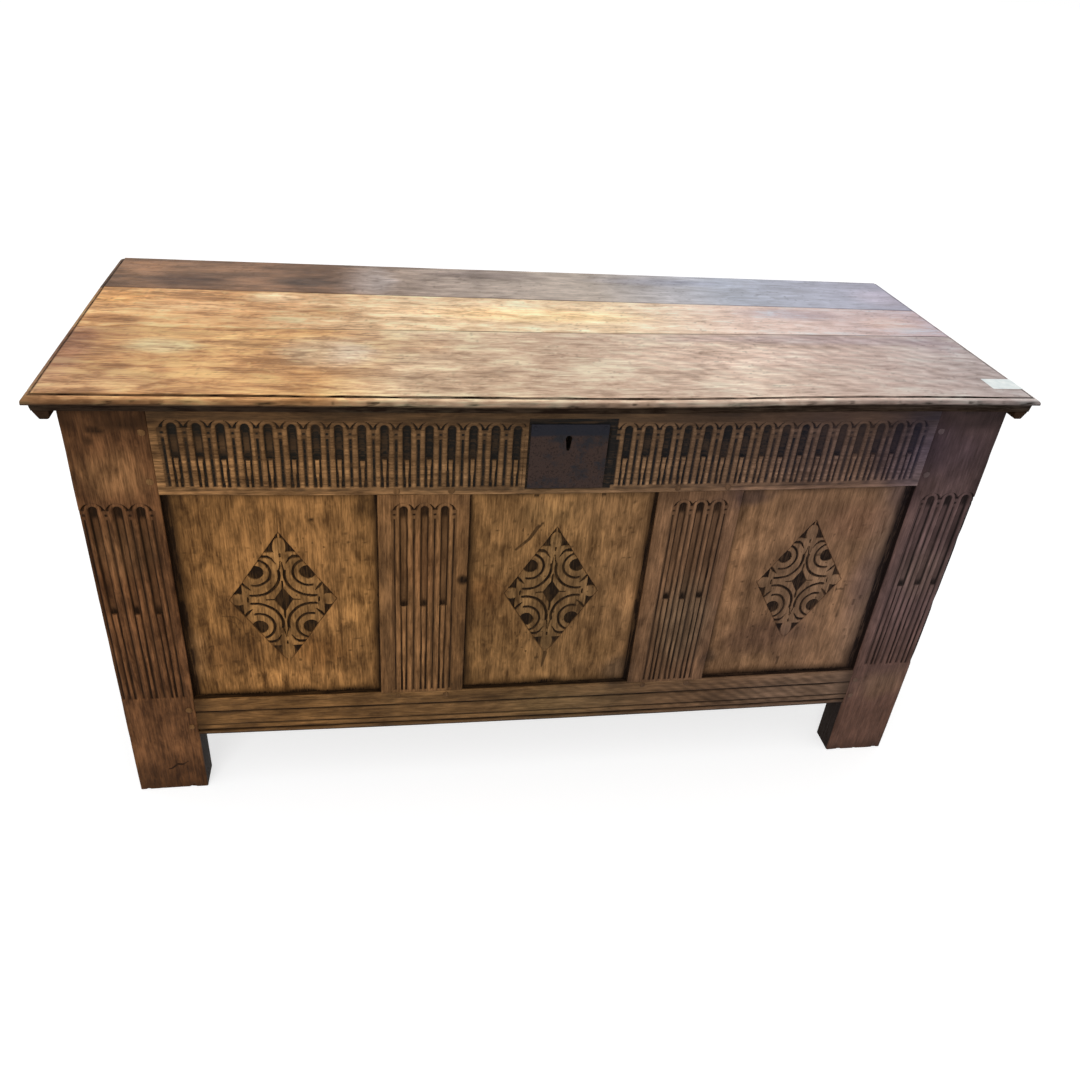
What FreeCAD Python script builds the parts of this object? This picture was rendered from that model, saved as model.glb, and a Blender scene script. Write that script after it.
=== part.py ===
"""Joined oak coffer: framed carcase with three front panels, moulded lid, strap hinges and box lock.

Millimetres. +X to the right, +Y to the back, +Z up. The origin is on the floor, under the
middle of the lid. Each side of the carcase is one joined frame: rails tenoned into stiles,
muntins tenoned into the rails, bevelled panels loose in grooves, pegs through the tenons.
A frame is drawn in its own plane (x along it, y inwards from its outer face) and then turned
into place.
"""
import FreeCAD, Part
import math
import os
from FreeCAD import Placement, Rotation, Vector

os.makedirs("parts", exist_ok=True)

# ---- driving dimensions -------------------------------------------------------------------
HEIGHT = 644.0
LID_LENGTH = 1222.0
LID_DEPTH = 483.0
LID_THICKNESS = 22.0
LID_TAPER = 10.5              # how much shallower the lid is at its right-hand end
CARCASE_WIDTH = 1170.0
FRONT_OVERHANG = 24.0
BACK_OVERHANG = 8.0           # at the lid's narrow end
STILE_WIDTH = 94.0
STILE_THICKNESS = 42.0

FRONT_RAIL_THICKNESS = 32.0
BACK_RAIL_THICKNESS = 28.0
END_RAIL_THICKNESS = 28.0
BOTTOM_RAIL_BOTTOM = 103.0
BOTTOM_RAIL_TOP = 173.0
TOP_RAIL_BOTTOM = 507.0
FLOOR_TOP = 140.0
FLOOR_THICKNESS = 14.0
MUNTIN_WIDTH = 116.0
END_MUNTIN_WIDTH = 100.0
LEFT_MUNTIN_X = -177.0
RIGHT_MUNTIN_X = 186.0

# ---- joints -------------------------------------------------------------------------------
GROOVE_FRONT = 10.0           # from the frame's face to the groove, the tenons and the panels
GROOVE_BACK = 19.0
GROOVE_DEPTH = 9.0
TENON_LENGTH = 60.0
END_TENON_LENGTH = 28.0
MUNTIN_TENON_LENGTH = 30.0
TENON_SHOULDER = 8.0          # at a rail's outer edge
TOP_SHOULDER = 15.0           # keeps the top mortises away from the stiles' ends
MORTISE_CLEARANCE = 1.0       # at the bottom of a mortise
PEG_RADIUS = 3.5
PEG_LENGTH = 26.0
PEG_PROUD = 0.8
PEG_SIDES = 6
PEG_FROM_SHOULDER = 8.0
TOP_PEG_HEIGHTS = (525.0, 590.0)
BOTTOM_PEG_HEIGHTS = (122.0, 154.0)
BACK_BOTTOM_PEG_HEIGHTS = (156.0,)
MUNTIN_PEG_FROM_EDGE = 6.0
MUNTIN_PEG_SPREAD = 34.0

PANEL_EDGE = 8.0              # thickness in the groove
PANEL_THICKNESS = 14.0
PANEL_BEVEL = 45.0
PANEL_GAP = 2.0               # room for the panel to swell

FLOOR_BOARDS = 5
FLOOR_LAP = 8.0
FLOOR_IN_FRONT = 10.0         # how far the floor goes into the front rail's groove
FLOOR_IN_END = 8.0
FLOOR_SHY = 2.0               # how far it stops short of the back face

# ---- mouldings run along the front bottom rail ----------------------------------------------
RUN_GROOVE_Z = 148.5
RUN_GROOVE_HALF = 2.6
RUN_GROOVE_DEPTH = 2.2
BEAD_Z = 119.0
BEAD_HALF = 6.6
BEAD_DEPTH = 2.6
BEAD_RADIUS = 6.1
RAIL_ARRIS = (3.0, 2.0)       # height and depth of the worn upper arris
RAIL_FOOT = (9.0, 3.0)        # and of the lower one

# ---- lid ----------------------------------------------------------------------------------
FIRST_JOINT_LEFT = -36.5      # the lid's board joints run out of square, as the boards taper
FIRST_JOINT_RIGHT = -19.5
SECOND_JOINT_LEFT = 108.5
SECOND_JOINT_RIGHT = 93.5
TONGUE = 6.0
QUIRK = 9.0                   # from the nose to the step on the lid's top
QUIRK_DROP = 1.8
NOSE_TOP = 14.0               # heights above the lid's underside
NOSE_BOTTOM = 11.0
FRONT_SETBACK = 9.0           # of the edge's lower member
NOSE_CURVE = (2.7, 4.0)       # a place on the nose: inwards from it, below the lid's top
END_SETBACK_TOP = 3.5
END_SETBACK_BOTTOM = 6.0
CLEAT_GAP = 2.0               # between the cleat and the carcase's end
CLEAT_DEPTH = 10.5
CLEAT_BOTTOM_OUT = 598.5
CLEAT_CHAMFER = 2.5
CLEAT_FRONT = -232.0
CLEAT_BACK = 224.0

# ---- hinges -------------------------------------------------------------------------------
HINGE_X = 400.0
HINGE_BEHIND = 1.7            # from the back face to the pin's axis
PIN_RADIUS = 2.5
PIN_CLEARANCE = 0.05
PIN_PROUD = 0.8
BARREL_RADIUS = 5.5
BARREL_HALF = 23.0
STRAP_KNUCKLE_HALF = 11.0
KNUCKLE_GAP = 0.6
BARREL_ROOM = 0.7             # between the barrel and the wood around it
BARREL_END_ROOM = 3.0
IRON = 3.0                    # thickness of leaves and straps
LEAF_LENGTH = 112.0
LEAF_HALF_TOP = 21.0
LEAF_HALF_TIP = 11.0
LEAF_WAIST = 40.0             # below the axis, where the leaf stops narrowing
STRAP_LENGTH = 232.0
STRAP_HALF_TIP = 9.0
STRAP_HALF_ROOT = 17.0
STRAP_NECK_START = 9.0        # from the axis, where the knuckle's tongue begins to widen
STRAP_NECK = 24.0

# ---- lock ---------------------------------------------------------------------------------
LOCK_X = 1.0
PLATE_HALF = 49.0
PLATE_BOTTOM = 516.0
PLATE_TOP = 605.5
PLATE_THICKNESS = 2.0
PLATE_PROUD = 0.6
RECESS_LEFT = -50.0           # the rail is let in for an older, larger plate
RECESS_RIGHT = 60.0
RECESS_BOTTOM = 514.5
RECESS_TOP = 612.5
KEYHOLE_X = 0.0
KEYHOLE_EYE_Z = 586.0
KEYHOLE_EYE_RADIUS = 4.0
KEYHOLE_FOOT_RADIUS = 2.1
KEYHOLE_DROP = 14.5
CASE_HALF = 52.0
CASE_BOTTOM = 536.0
CASE_TOP = 615.0
CASE_DEPTH = 28.0
CASE_WALL = 2.0
PIN_INTO_RAIL = 14.0          # how far the drill pin reaches into the rail
DRILL_PIN_RADIUS = 1.8
BACK_PLATE_MARGIN = 8.0
STAPLE_OFFSET = 26.0
STAPLE_HALF = 2.5
STAPLE_FRONT = 40.0           # depths from the carcase's front face
STAPLE_BACK = 56.0
STAPLE_LEG = 4.0
STAPLE_PLATE_HALF = 20.0
STAPLE_PLATE_MARGIN = 4.0
STAPLE_BOTTOM = 583.0
STAPLE_WINDOW_BOTTOM = 588.0
STAPLE_WINDOW_TOP = 606.0
BOLT_BOTTOM = 591.0
BOLT_TOP = 601.0
BOLT_TRAVEL = 14.0
BOLT_PLAY = 0.3
BOLT_CLEARANCE = 1.0          # to the staple's legs, before and behind
BOLT_TIP_GAP = 4.0            # from the drawn bolt's tip to the staple
BOLT_STOP_HEIGHT = 5.0
TALON_RADIUS = 7.0
TALON_LEFT = 6.0              # of the keyhole
TALON_BELOW = 3.0             # the bolt's lower edge
SLOT_ROOM = 2.0
GUIDE_RIM = 4.0
SPRING_THICKNESS = 0.9
SPRING_RISE = 5.0
SPRING_END_GAP = 0.5

TILL_X = -388.0
TILL_BOARD = 12.0
TILL_TOP = 604.0
TILL_BOTTOM = 508.0
TILL_HOUSING = 6.0

# ---- places worked out from the sizes above -----------------------------------------------
CARCASE_TOP = HEIGHT - LID_THICKNESS
HALF_WIDTH = CARCASE_WIDTH / 2
LID_FRONT = -LID_DEPTH / 2
LID_BACK = LID_DEPTH / 2
LID_HALF = LID_LENGTH / 2
FRONT_Y = LID_FRONT + FRONT_OVERHANG
BACK_Y = LID_BACK - LID_TAPER - BACK_OVERHANG
FRONT_STILE_BACK = FRONT_Y + STILE_THICKNESS
BACK_STILE_FRONT = BACK_Y - STILE_THICKNESS
FRONT_HALF_OPENING = HALF_WIDTH - STILE_WIDTH
END_HALF_OPENING = (BACK_STILE_FRONT - FRONT_STILE_BACK) / 2
END_CENTRE_Y = (BACK_STILE_FRONT + FRONT_STILE_BACK) / 2
END_INNER_X = HALF_WIDTH - END_RAIL_THICKNESS
FRONT_RAIL_BACK = FRONT_Y + FRONT_RAIL_THICKNESS
BACK_RAIL_FRONT = BACK_Y - BACK_RAIL_THICKNESS
FLOOR_BOTTOM = FLOOR_TOP - FLOOR_THICKNESS
HINGE_Y = BACK_Y + HINGE_BEHIND
HINGE_Z = CARCASE_TOP

ALONG_X = Vector(1, 0, 0)
ALONG_Y = Vector(0, 1, 0)
ALONG_Z = Vector(0, 0, 1)


# ---- shapes -------------------------------------------------------------------------------
def box(x0, x1, y0, y1, z0, z1):
    """A block between two corners."""
    return Part.makeBox(x1 - x0, y1 - y0, z1 - z0, Vector(x0, y0, z0))


def prism(points, sweep):
    """A flat outline of straight sides, swept along a vector."""
    return flat_face([Vector(*point) for point in points]).extrude(sweep)


def outline_prism(edges, sweep):
    """A flat outline of lines and arcs, swept along a vector."""
    wire = Part.Wire([edge.toShape() for edge in edges])
    return Part.Face(wire).extrude(sweep)


def line(start, end):
    return Part.LineSegment(Vector(*start), Vector(*end))


def arc(start, through, end):
    return Part.Arc(Vector(*start), Vector(*through), Vector(*end))


def joined(shapes):
    """Touching shapes made one solid."""
    return shapes[0].multiFuse(shapes[1:]).removeSplitter()


def less(shape, cutters):
    """A shape with the cutters taken away."""
    return shape.cut(Part.makeCompound(cutters))


def mirrored(shape):
    """The same shape on the other side of the chest."""
    return shape.mirror(Vector(0, 0, 0), ALONG_X)


def many_sided(centre, along, radius, sides):
    """The corners of a regular outline, square to a direction."""
    turn = Rotation(ALONG_Z, along)
    corners = []
    for index in range(sides):
        angle = 2 * math.pi * (index + 0.5) / sides
        spoke = Vector(radius * math.cos(angle), radius * math.sin(angle), 0)
        corners.append(centre + turn.multVec(spoke))
    return corners


def flat_face(corners):
    return Part.Face(Part.makePolygon(corners + corners[:1]))


def peg(head, inwards, length, radius):
    """A riven peg, six-sided and of one thickness."""
    return flat_face(many_sided(head, inwards, radius, PEG_SIDES)).extrude(inwards * length)


# ---- one side of the carcase --------------------------------------------------------------
class JoinedFrame:
    """Rails, muntins and panels between two stiles, in the frame's own plane."""

    def __init__(self, half_opening, thickness, tenon, bottom, muntin_width, muntins, pegs, place):
        self.half = half_opening
        self.thickness = thickness
        self.tenon = tenon
        self.bottom = bottom
        self.muntin_width = muntin_width
        self.muntins = muntins
        self.bottom_pegs = pegs
        self.place = place

    def placed(self, shape):
        return shape.transformed(self.place.toMatrix(), True)

    def in_groove(self, x0, x1, z0, z1):
        """A block as thick as the tenons, in their plane."""
        return box(x0, x1, GROOVE_FRONT, GROOVE_BACK, z0, z1)

    def tenon_heights(self):
        top = (TOP_RAIL_BOTTOM + GROOVE_DEPTH, CARCASE_TOP - TOP_SHOULDER)
        bottom = (self.bottom + TENON_SHOULDER, BOTTOM_RAIL_TOP - GROOVE_DEPTH)
        return top, bottom

    def rail(self, z0, z1, tenon, groove):
        """A rail with a tenon at each end and a groove in the edge that meets the panels."""
        end = self.half + self.tenon
        body = box(-self.half, self.half, 0, self.thickness, z0, z1)
        tenons = [self.in_groove(-end, -self.half, *tenon), self.in_groove(self.half, end, *tenon)]
        return less(joined([body] + tenons), [self.in_groove(-end, end, *groove)])

    def top_rail(self):
        groove = (TOP_RAIL_BOTTOM, TOP_RAIL_BOTTOM + GROOVE_DEPTH)
        rail = self.rail(TOP_RAIL_BOTTOM, CARCASE_TOP, self.tenon_heights()[0], groove)
        return less(rail, [self.muntin_mortise(x, TOP_RAIL_BOTTOM, 1) for x in self.muntins])

    def bottom_rail(self):
        groove = (BOTTOM_RAIL_TOP - GROOVE_DEPTH, BOTTOM_RAIL_TOP)
        rail = self.rail(self.bottom, BOTTOM_RAIL_TOP, self.tenon_heights()[1], groove)
        return less(rail, [self.muntin_mortise(x, BOTTOM_RAIL_TOP, -1) for x in self.muntins])

    def muntin_tenon(self, x, edge, way, length):
        """The stub that a muntin sends into a rail: way is 1 up into the top rail, -1 down."""
        half = self.muntin_width / 2 - GROOVE_DEPTH
        low, high = sorted((edge, edge + way * length))
        return self.in_groove(x - half, x + half, low, high)

    def muntin_length(self, way):
        """A muntin's tenon is shorter where the rail is narrow."""
        room = BOTTOM_RAIL_TOP - self.bottom - TENON_SHOULDER - MORTISE_CLEARANCE
        return MUNTIN_TENON_LENGTH if way > 0 else min(MUNTIN_TENON_LENGTH, room)

    def muntin_mortise(self, x, edge, way):
        return self.muntin_tenon(x, edge, way, self.muntin_length(way) + MORTISE_CLEARANCE)

    def muntin(self, x):
        """An upright between the rails, grooved down both edges."""
        left, right = x - self.muntin_width / 2, x + self.muntin_width / 2
        body = box(left, right, 0, self.thickness, BOTTOM_RAIL_TOP, TOP_RAIL_BOTTOM)
        tenons = [self.muntin_tenon(x, TOP_RAIL_BOTTOM, 1, self.muntin_length(1)),
                  self.muntin_tenon(x, BOTTOM_RAIL_TOP, -1, self.muntin_length(-1))]
        grooves = [self.in_groove(left, left + GROOVE_DEPTH, BOTTOM_RAIL_TOP, TOP_RAIL_BOTTOM),
                   self.in_groove(right - GROOVE_DEPTH, right, BOTTOM_RAIL_TOP, TOP_RAIL_BOTTOM)]
        return joined([less(body, grooves)] + tenons)

    def openings(self):
        """The clear spans between the uprights, from low x to high x."""
        half = self.muntin_width / 2
        edges = [-self.half]
        for x in self.muntins:
            edges += [x - half, x + half]
        edges.append(self.half)
        return list(zip(edges[0::2], edges[1::2]))

    def panel(self, x0, x1):
        """A panel flat on its face and bevelled on its back, standing on the groove's floor."""
        side = GROOVE_DEPTH - PANEL_GAP
        left, right = x0 - side, x1 + side
        low, high = BOTTOM_RAIL_TOP - GROOVE_DEPTH, TOP_RAIL_BOTTOM + side
        back = GROOVE_FRONT + PANEL_EDGE
        board = box(left, right, GROOVE_FRONT, back, low, high)
        flat, field = GROOVE_DEPTH, GROOVE_DEPTH + PANEL_BEVEL
        raised = Part.makeWedge(left + flat, back, low + flat, low + field, left + field,
                                right - flat, GROOVE_FRONT + PANEL_THICKNESS, high - flat,
                                high - field, right - field)
        return joined([board, raised])

    def stile_cutters(self, side):
        """Mortises and panel groove that this frame needs in one of its stiles."""
        reach = self.half + self.tenon + MORTISE_CLEARANCE
        top, bottom = self.tenon_heights()
        cutters = []
        for z0, z1, depth in ((*top, reach), (*bottom, reach),
                              (bottom[1], top[0], self.half + GROOVE_DEPTH)):
            x0, x1 = sorted((side * self.half, side * depth))
            cutters.append(self.placed(self.in_groove(x0, x1, z0, z1)))
        return cutters

    def pegs(self):
        """Riven pegs through the tenons, driven from the face."""
        spots = []
        for side in (-1, 1):
            x = side * (self.half + PEG_FROM_SHOULDER)
            spots += [(x, z) for z in TOP_PEG_HEIGHTS + self.bottom_pegs]
        for x in self.muntins:
            for step in (-MUNTIN_PEG_SPREAD, MUNTIN_PEG_SPREAD):
                spots.append((x + step, TOP_RAIL_BOTTOM + MUNTIN_PEG_FROM_EDGE))
                spots.append((x + step, BOTTOM_RAIL_TOP - MUNTIN_PEG_FROM_EDGE))
        length = PEG_LENGTH + PEG_PROUD
        return [self.placed(peg(Vector(x, -PEG_PROUD, z), ALONG_Y, length, PEG_RADIUS))
                for x, z in spots]


def turned(angle, x, y):
    return Placement(Vector(x, y, 0), Rotation(ALONG_Z, angle))


FRONT = JoinedFrame(FRONT_HALF_OPENING, FRONT_RAIL_THICKNESS, TENON_LENGTH, BOTTOM_RAIL_BOTTOM,
                    MUNTIN_WIDTH, (LEFT_MUNTIN_X, RIGHT_MUNTIN_X), BOTTOM_PEG_HEIGHTS,
                    turned(0, 0, FRONT_Y))
BACK = JoinedFrame(FRONT_HALF_OPENING, BACK_RAIL_THICKNESS, TENON_LENGTH, FLOOR_TOP,
                   MUNTIN_WIDTH, (LEFT_MUNTIN_X, RIGHT_MUNTIN_X), BACK_BOTTOM_PEG_HEIGHTS,
                   turned(180, 0, BACK_Y))
LEFT = JoinedFrame(END_HALF_OPENING, END_RAIL_THICKNESS, END_TENON_LENGTH, BOTTOM_RAIL_BOTTOM,
                   END_MUNTIN_WIDTH, (0,), BOTTOM_PEG_HEIGHTS,
                   turned(-90, -HALF_WIDTH, END_CENTRE_Y))
RIGHT = JoinedFrame(END_HALF_OPENING, END_RAIL_THICKNESS, END_TENON_LENGTH, BOTTOM_RAIL_BOTTOM,
                    END_MUNTIN_WIDTH, (0,), BOTTOM_PEG_HEIGHTS,
                    turned(90, HALF_WIDTH, END_CENTRE_Y))


# ---- carcase ------------------------------------------------------------------------------
def stile(x0, y0, frames):
    """A corner post and foot in one: frames lists each frame with the end that meets it."""
    post = box(x0, x0 + STILE_WIDTH, y0, y0 + STILE_THICKNESS, 0, CARCASE_TOP)
    cutters = []
    for frame, side in frames:
        cutters += frame.stile_cutters(side) + frame.pegs()
    return less(post, cutters)


def rail_moulding():
    """Waste of the mouldings run along the front bottom rail, in the frame's plane."""
    length = 2 * FRONT_HALF_OPENING
    sweep = Vector(length, 0, 0)
    start = -FRONT_HALF_OPENING
    top, bottom = BOTTOM_RAIL_TOP, BOTTOM_RAIL_BOTTOM
    groove = prism([(start, 0, RUN_GROOVE_Z - RUN_GROOVE_HALF),
                    (start, 0, RUN_GROOVE_Z + RUN_GROOVE_HALF),
                    (start, RUN_GROOVE_DEPTH, RUN_GROOVE_Z)], sweep)
    channel = box(start, -start, 0, BEAD_DEPTH, BEAD_Z - BEAD_HALF, BEAD_Z + BEAD_HALF)
    bead = Part.makeCylinder(BEAD_RADIUS, length, Vector(start, BEAD_RADIUS, BEAD_Z), ALONG_X)
    arris = prism([(start, 0, top - RAIL_ARRIS[0]), (start, 0, top), (start, RAIL_ARRIS[1], top)],
                  sweep)
    foot = prism([(start, 0, bottom + RAIL_FOOT[0]), (start, 0, bottom),
                  (start, RAIL_FOOT[1], bottom)], sweep)
    return [groove, channel.cut(bead), arris, foot]


def keyhole(y0, y1, grow=0.0):
    """A keyhole with a round eye and a narrowing slot below it, from y0 to y1."""
    eye, foot = KEYHOLE_EYE_RADIUS + grow, KEYHOLE_FOOT_RADIUS + grow
    top_z, foot_z = KEYHOLE_EYE_Z, KEYHOLE_EYE_Z - KEYHOLE_DROP
    x = KEYHOLE_X
    edges = [arc((x - eye, y0, top_z), (x, y0, top_z + eye), (x + eye, y0, top_z)),
             line((x + eye, y0, top_z), (x + foot, y0, foot_z)),
             arc((x + foot, y0, foot_z), (x, y0, foot_z - foot), (x - foot, y0, foot_z)),
             line((x - foot, y0, foot_z), (x - eye, y0, top_z))]
    return outline_prism(edges, Vector(0, y1 - y0, 0))


def front_top_rail():
    """The deep front rail, let in for the lock plate and bored for the key."""
    passage_room = 4.0
    recess = box(RECESS_LEFT, RECESS_RIGHT, 0, PLATE_THICKNESS - PLATE_PROUD, RECESS_BOTTOM,
                 RECESS_TOP)
    passage = keyhole(0, FRONT_RAIL_THICKNESS, passage_room)
    return less(FRONT.top_rail(), [recess, passage])


def floor_groove(frame, depth):
    """The groove that a rail's inner face gives the floor boards."""
    end = frame.half
    return box(-end, end, frame.thickness - depth, frame.thickness, FLOOR_BOTTOM, FLOOR_TOP)


def corner_posts():
    """The room that the four stiles take up, as plain blocks."""
    posts = []
    for y0 in (FRONT_Y, BACK_STILE_FRONT):
        for x0 in (-HALF_WIDTH, HALF_WIDTH - STILE_WIDTH):
            posts.append(box(x0, x0 + STILE_WIDTH, y0, y0 + STILE_THICKNESS, 0, CARCASE_TOP))
    return posts


def floor_board(index):
    """One board of the floor, front to back, half-lapped on its neighbours."""
    left = -END_INNER_X - FLOOR_IN_END
    width = -2 * left / FLOOR_BOARDS
    x0, x1 = left + index * width, left + (index + 1) * width
    y0, y1 = FRONT_RAIL_BACK - FLOOR_IN_FRONT, BACK_Y - FLOOR_SHY
    middle = (FLOOR_BOTTOM + FLOOR_TOP) / 2
    board = box(x0, x1, y0, y1, FLOOR_BOTTOM, FLOOR_TOP)
    if index > 0:
        board = board.cut(box(x0, x0 + FLOOR_LAP, y0, y1, FLOOR_BOTTOM, middle))
    if index < FLOOR_BOARDS - 1:
        tongue = box(x1, x1 + FLOOR_LAP, y0, y1, FLOOR_BOTTOM, middle)
        board = joined([board, tongue])
    return less(board, corner_posts())


def till():
    """The open candle box at the left end: a side board and a floor, housed in the rails."""
    y0, y1 = FRONT_RAIL_BACK - TILL_HOUSING, BACK_RAIL_FRONT + TILL_HOUSING
    side = box(TILL_X - TILL_BOARD, TILL_X, y0, y1, TILL_BOTTOM, TILL_TOP)
    bottom = box(-END_INNER_X - TILL_HOUSING, TILL_X - TILL_BOARD, y0, y1, TILL_BOTTOM,
                 TILL_BOTTOM + TILL_BOARD)
    return side, less(bottom, corner_posts() + LEFT.pegs())


# ---- lock ---------------------------------------------------------------------------------
CASE_FRONT = FRONT_RAIL_THICKNESS + CASE_WALL
BOLT_FRONT = STAPLE_FRONT + STAPLE_LEG + BOLT_CLEARANCE
BOLT_BACK = STAPLE_BACK - STAPLE_LEG - BOLT_CLEARANCE
STAPLE_X = LOCK_X + STAPLE_OFFSET
GUIDES = ((LOCK_X - 28, LOCK_X - 22), (LOCK_X + 11, LOCK_X + 16))
BOLT_TAIL = LOCK_X - 47
BOLT_TIP = STAPLE_X - STAPLE_HALF - BOLT_TIP_GAP


def lock_plate():
    """The outer plate, let into the rail round the keyhole."""
    plate = box(LOCK_X - PLATE_HALF, LOCK_X + PLATE_HALF, -PLATE_PROUD,
                PLATE_THICKNESS - PLATE_PROUD, PLATE_BOTTOM, PLATE_TOP)
    return less(plate, [keyhole(-PLATE_PROUD, PLATE_THICKNESS)])


def lock_back_plate():
    """The plate on the rail's inner face that closes the lock's case."""
    margin = BACK_PLATE_MARGIN
    plate = box(LOCK_X - CASE_HALF - margin, LOCK_X + CASE_HALF + margin, FRONT_RAIL_THICKNESS,
                CASE_FRONT, CASE_BOTTOM, CASE_TOP)
    return less(plate, [keyhole(FRONT_RAIL_THICKNESS, CASE_FRONT, 1.0)])


def lock_case():
    """A five-sided iron box with two bolt guides and a slot in its top for the staple."""
    back = CASE_FRONT + CASE_DEPTH
    outer = box(LOCK_X - CASE_HALF, LOCK_X + CASE_HALF, CASE_FRONT, back, CASE_BOTTOM, CASE_TOP)
    inner = box(LOCK_X - CASE_HALF + CASE_WALL, LOCK_X + CASE_HALF - CASE_WALL, CASE_FRONT,
                back - CASE_WALL, CASE_BOTTOM + CASE_WALL, CASE_TOP - CASE_WALL)
    room, play, rim = STAPLE_HALF + SLOT_ROOM, BOLT_PLAY, GUIDE_RIM
    slot = box(STAPLE_X - room, STAPLE_X + room, CASE_FRONT, STAPLE_BACK + SLOT_ROOM,
               CASE_TOP - CASE_WALL, CASE_TOP)
    shell = less(outer, [inner, slot])
    bolt_way = box(LOCK_X - CASE_HALF + CASE_WALL, LOCK_X + CASE_HALF - CASE_WALL,
                   BOLT_FRONT - play, BOLT_BACK + play, BOLT_BOTTOM - play, BOLT_TOP + play)
    guides = [box(x0, x1, BOLT_FRONT - rim, back - CASE_WALL, BOLT_BOTTOM - rim, BOLT_TOP + rim)
              for x0, x1 in GUIDES]
    return joined([shell] + [guide.cut(bolt_way) for guide in guides])


def lock_bolt():
    """The bolt: a flat bar with a stop at its tail and a talon for the key below."""
    bar = box(BOLT_TAIL, BOLT_TIP, BOLT_FRONT, BOLT_BACK, BOLT_BOTTOM, BOLT_TOP)
    stop = box(BOLT_TAIL, GUIDES[0][0] - BOLT_TRAVEL - BOLT_PLAY, BOLT_FRONT, BOLT_BACK, BOLT_TOP,
               BOLT_TOP + BOLT_STOP_HEIGHT)
    middle = Vector(KEYHOLE_X - TALON_LEFT, BOLT_FRONT, BOLT_BOTTOM - TALON_BELOW)
    talon = Part.makeCylinder(TALON_RADIUS, BOLT_BACK - BOLT_FRONT, middle, ALONG_Y)
    return joined([bar, stop]).cut(talon)


def bolt_spring():
    """A bowed leaf held between the guides, just clear of the bolt's top edge."""
    gap, thick = SPRING_END_GAP, SPRING_THICKNESS
    x0, x1 = GUIDES[0][1] + gap, GUIDES[1][0] - gap
    middle, end = BOLT_TOP + BOLT_PLAY, BOLT_TOP + SPRING_RISE
    centre = (x0 + x1) / 2
    y0, y1 = BOLT_FRONT + gap, BOLT_BACK - gap
    edges = [arc((x0, y0, end), (centre, y0, middle), (x1, y0, end)),
             line((x1, y0, end), (x1, y0, end + thick)),
             arc((x1, y0, end + thick), (centre, y0, middle + thick), (x0, y0, end + thick)),
             line((x0, y0, end + thick), (x0, y0, end))]
    return outline_prism(edges, Vector(0, y1 - y0, 0))


def drill_pin():
    """The pin that a pipe key turns on."""
    start = FRONT_RAIL_THICKNESS - PIN_INTO_RAIL
    end = CASE_FRONT + CASE_DEPTH - CASE_WALL
    return Part.makeCylinder(DRILL_PIN_RADIUS, end - start,
                             Vector(KEYHOLE_X, start, KEYHOLE_EYE_Z), ALONG_Y)


# ---- hinges -------------------------------------------------------------------------------
def barrel(half, radius, x=0.0):
    """A cylinder on the hinge's axis, about x = 0 or about another middle."""
    return Part.makeCylinder(radius, 2 * half, Vector(x - half, HINGE_Y, HINGE_Z), ALONG_X)


def knuckles(leaf):
    """The leaf's two outer knuckles, or the strap's middle one."""
    inner = STRAP_KNUCKLE_HALF + KNUCKLE_GAP / 2
    if not leaf:
        return [barrel(STRAP_KNUCKLE_HALF - KNUCKLE_GAP / 2, BARREL_RADIUS)]
    half, middle = (BARREL_HALF - inner) / 2, (BARREL_HALF + inner) / 2
    return [barrel(half, BARREL_RADIUS, side * middle) for side in (-1, 1)]


def hinge_leaf():
    """The leaf nailed to the back, narrowing to a round end, with two knuckles."""
    y0, y1 = BACK_Y - IRON, BACK_Y
    tip_z = HINGE_Z - LEAF_LENGTH
    waist_z = HINGE_Z - LEAF_WAIST
    edges = [line((-LEAF_HALF_TOP, y0, HINGE_Z), (LEAF_HALF_TOP, y0, HINGE_Z)),
             line((LEAF_HALF_TOP, y0, HINGE_Z), (LEAF_HALF_TIP, y0, waist_z)),
             line((LEAF_HALF_TIP, y0, waist_z), (LEAF_HALF_TIP, y0, tip_z + LEAF_HALF_TIP)),
             arc((LEAF_HALF_TIP, y0, tip_z + LEAF_HALF_TIP), (0, y0, tip_z),
                 (-LEAF_HALF_TIP, y0, tip_z + LEAF_HALF_TIP)),
             line((-LEAF_HALF_TIP, y0, tip_z + LEAF_HALF_TIP), (-LEAF_HALF_TIP, y0, waist_z)),
             line((-LEAF_HALF_TIP, y0, waist_z), (-LEAF_HALF_TOP, y0, HINGE_Z))]
    plate = outline_prism(edges, Vector(0, y1 - y0, 0))
    gap = barrel(STRAP_KNUCKLE_HALF + KNUCKLE_GAP / 2, BARREL_RADIUS + BARREL_ROOM)
    bore = barrel(BARREL_HALF, PIN_RADIUS)
    return less(joined([plate.cut(gap)] + knuckles(True)), [bore])


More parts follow.
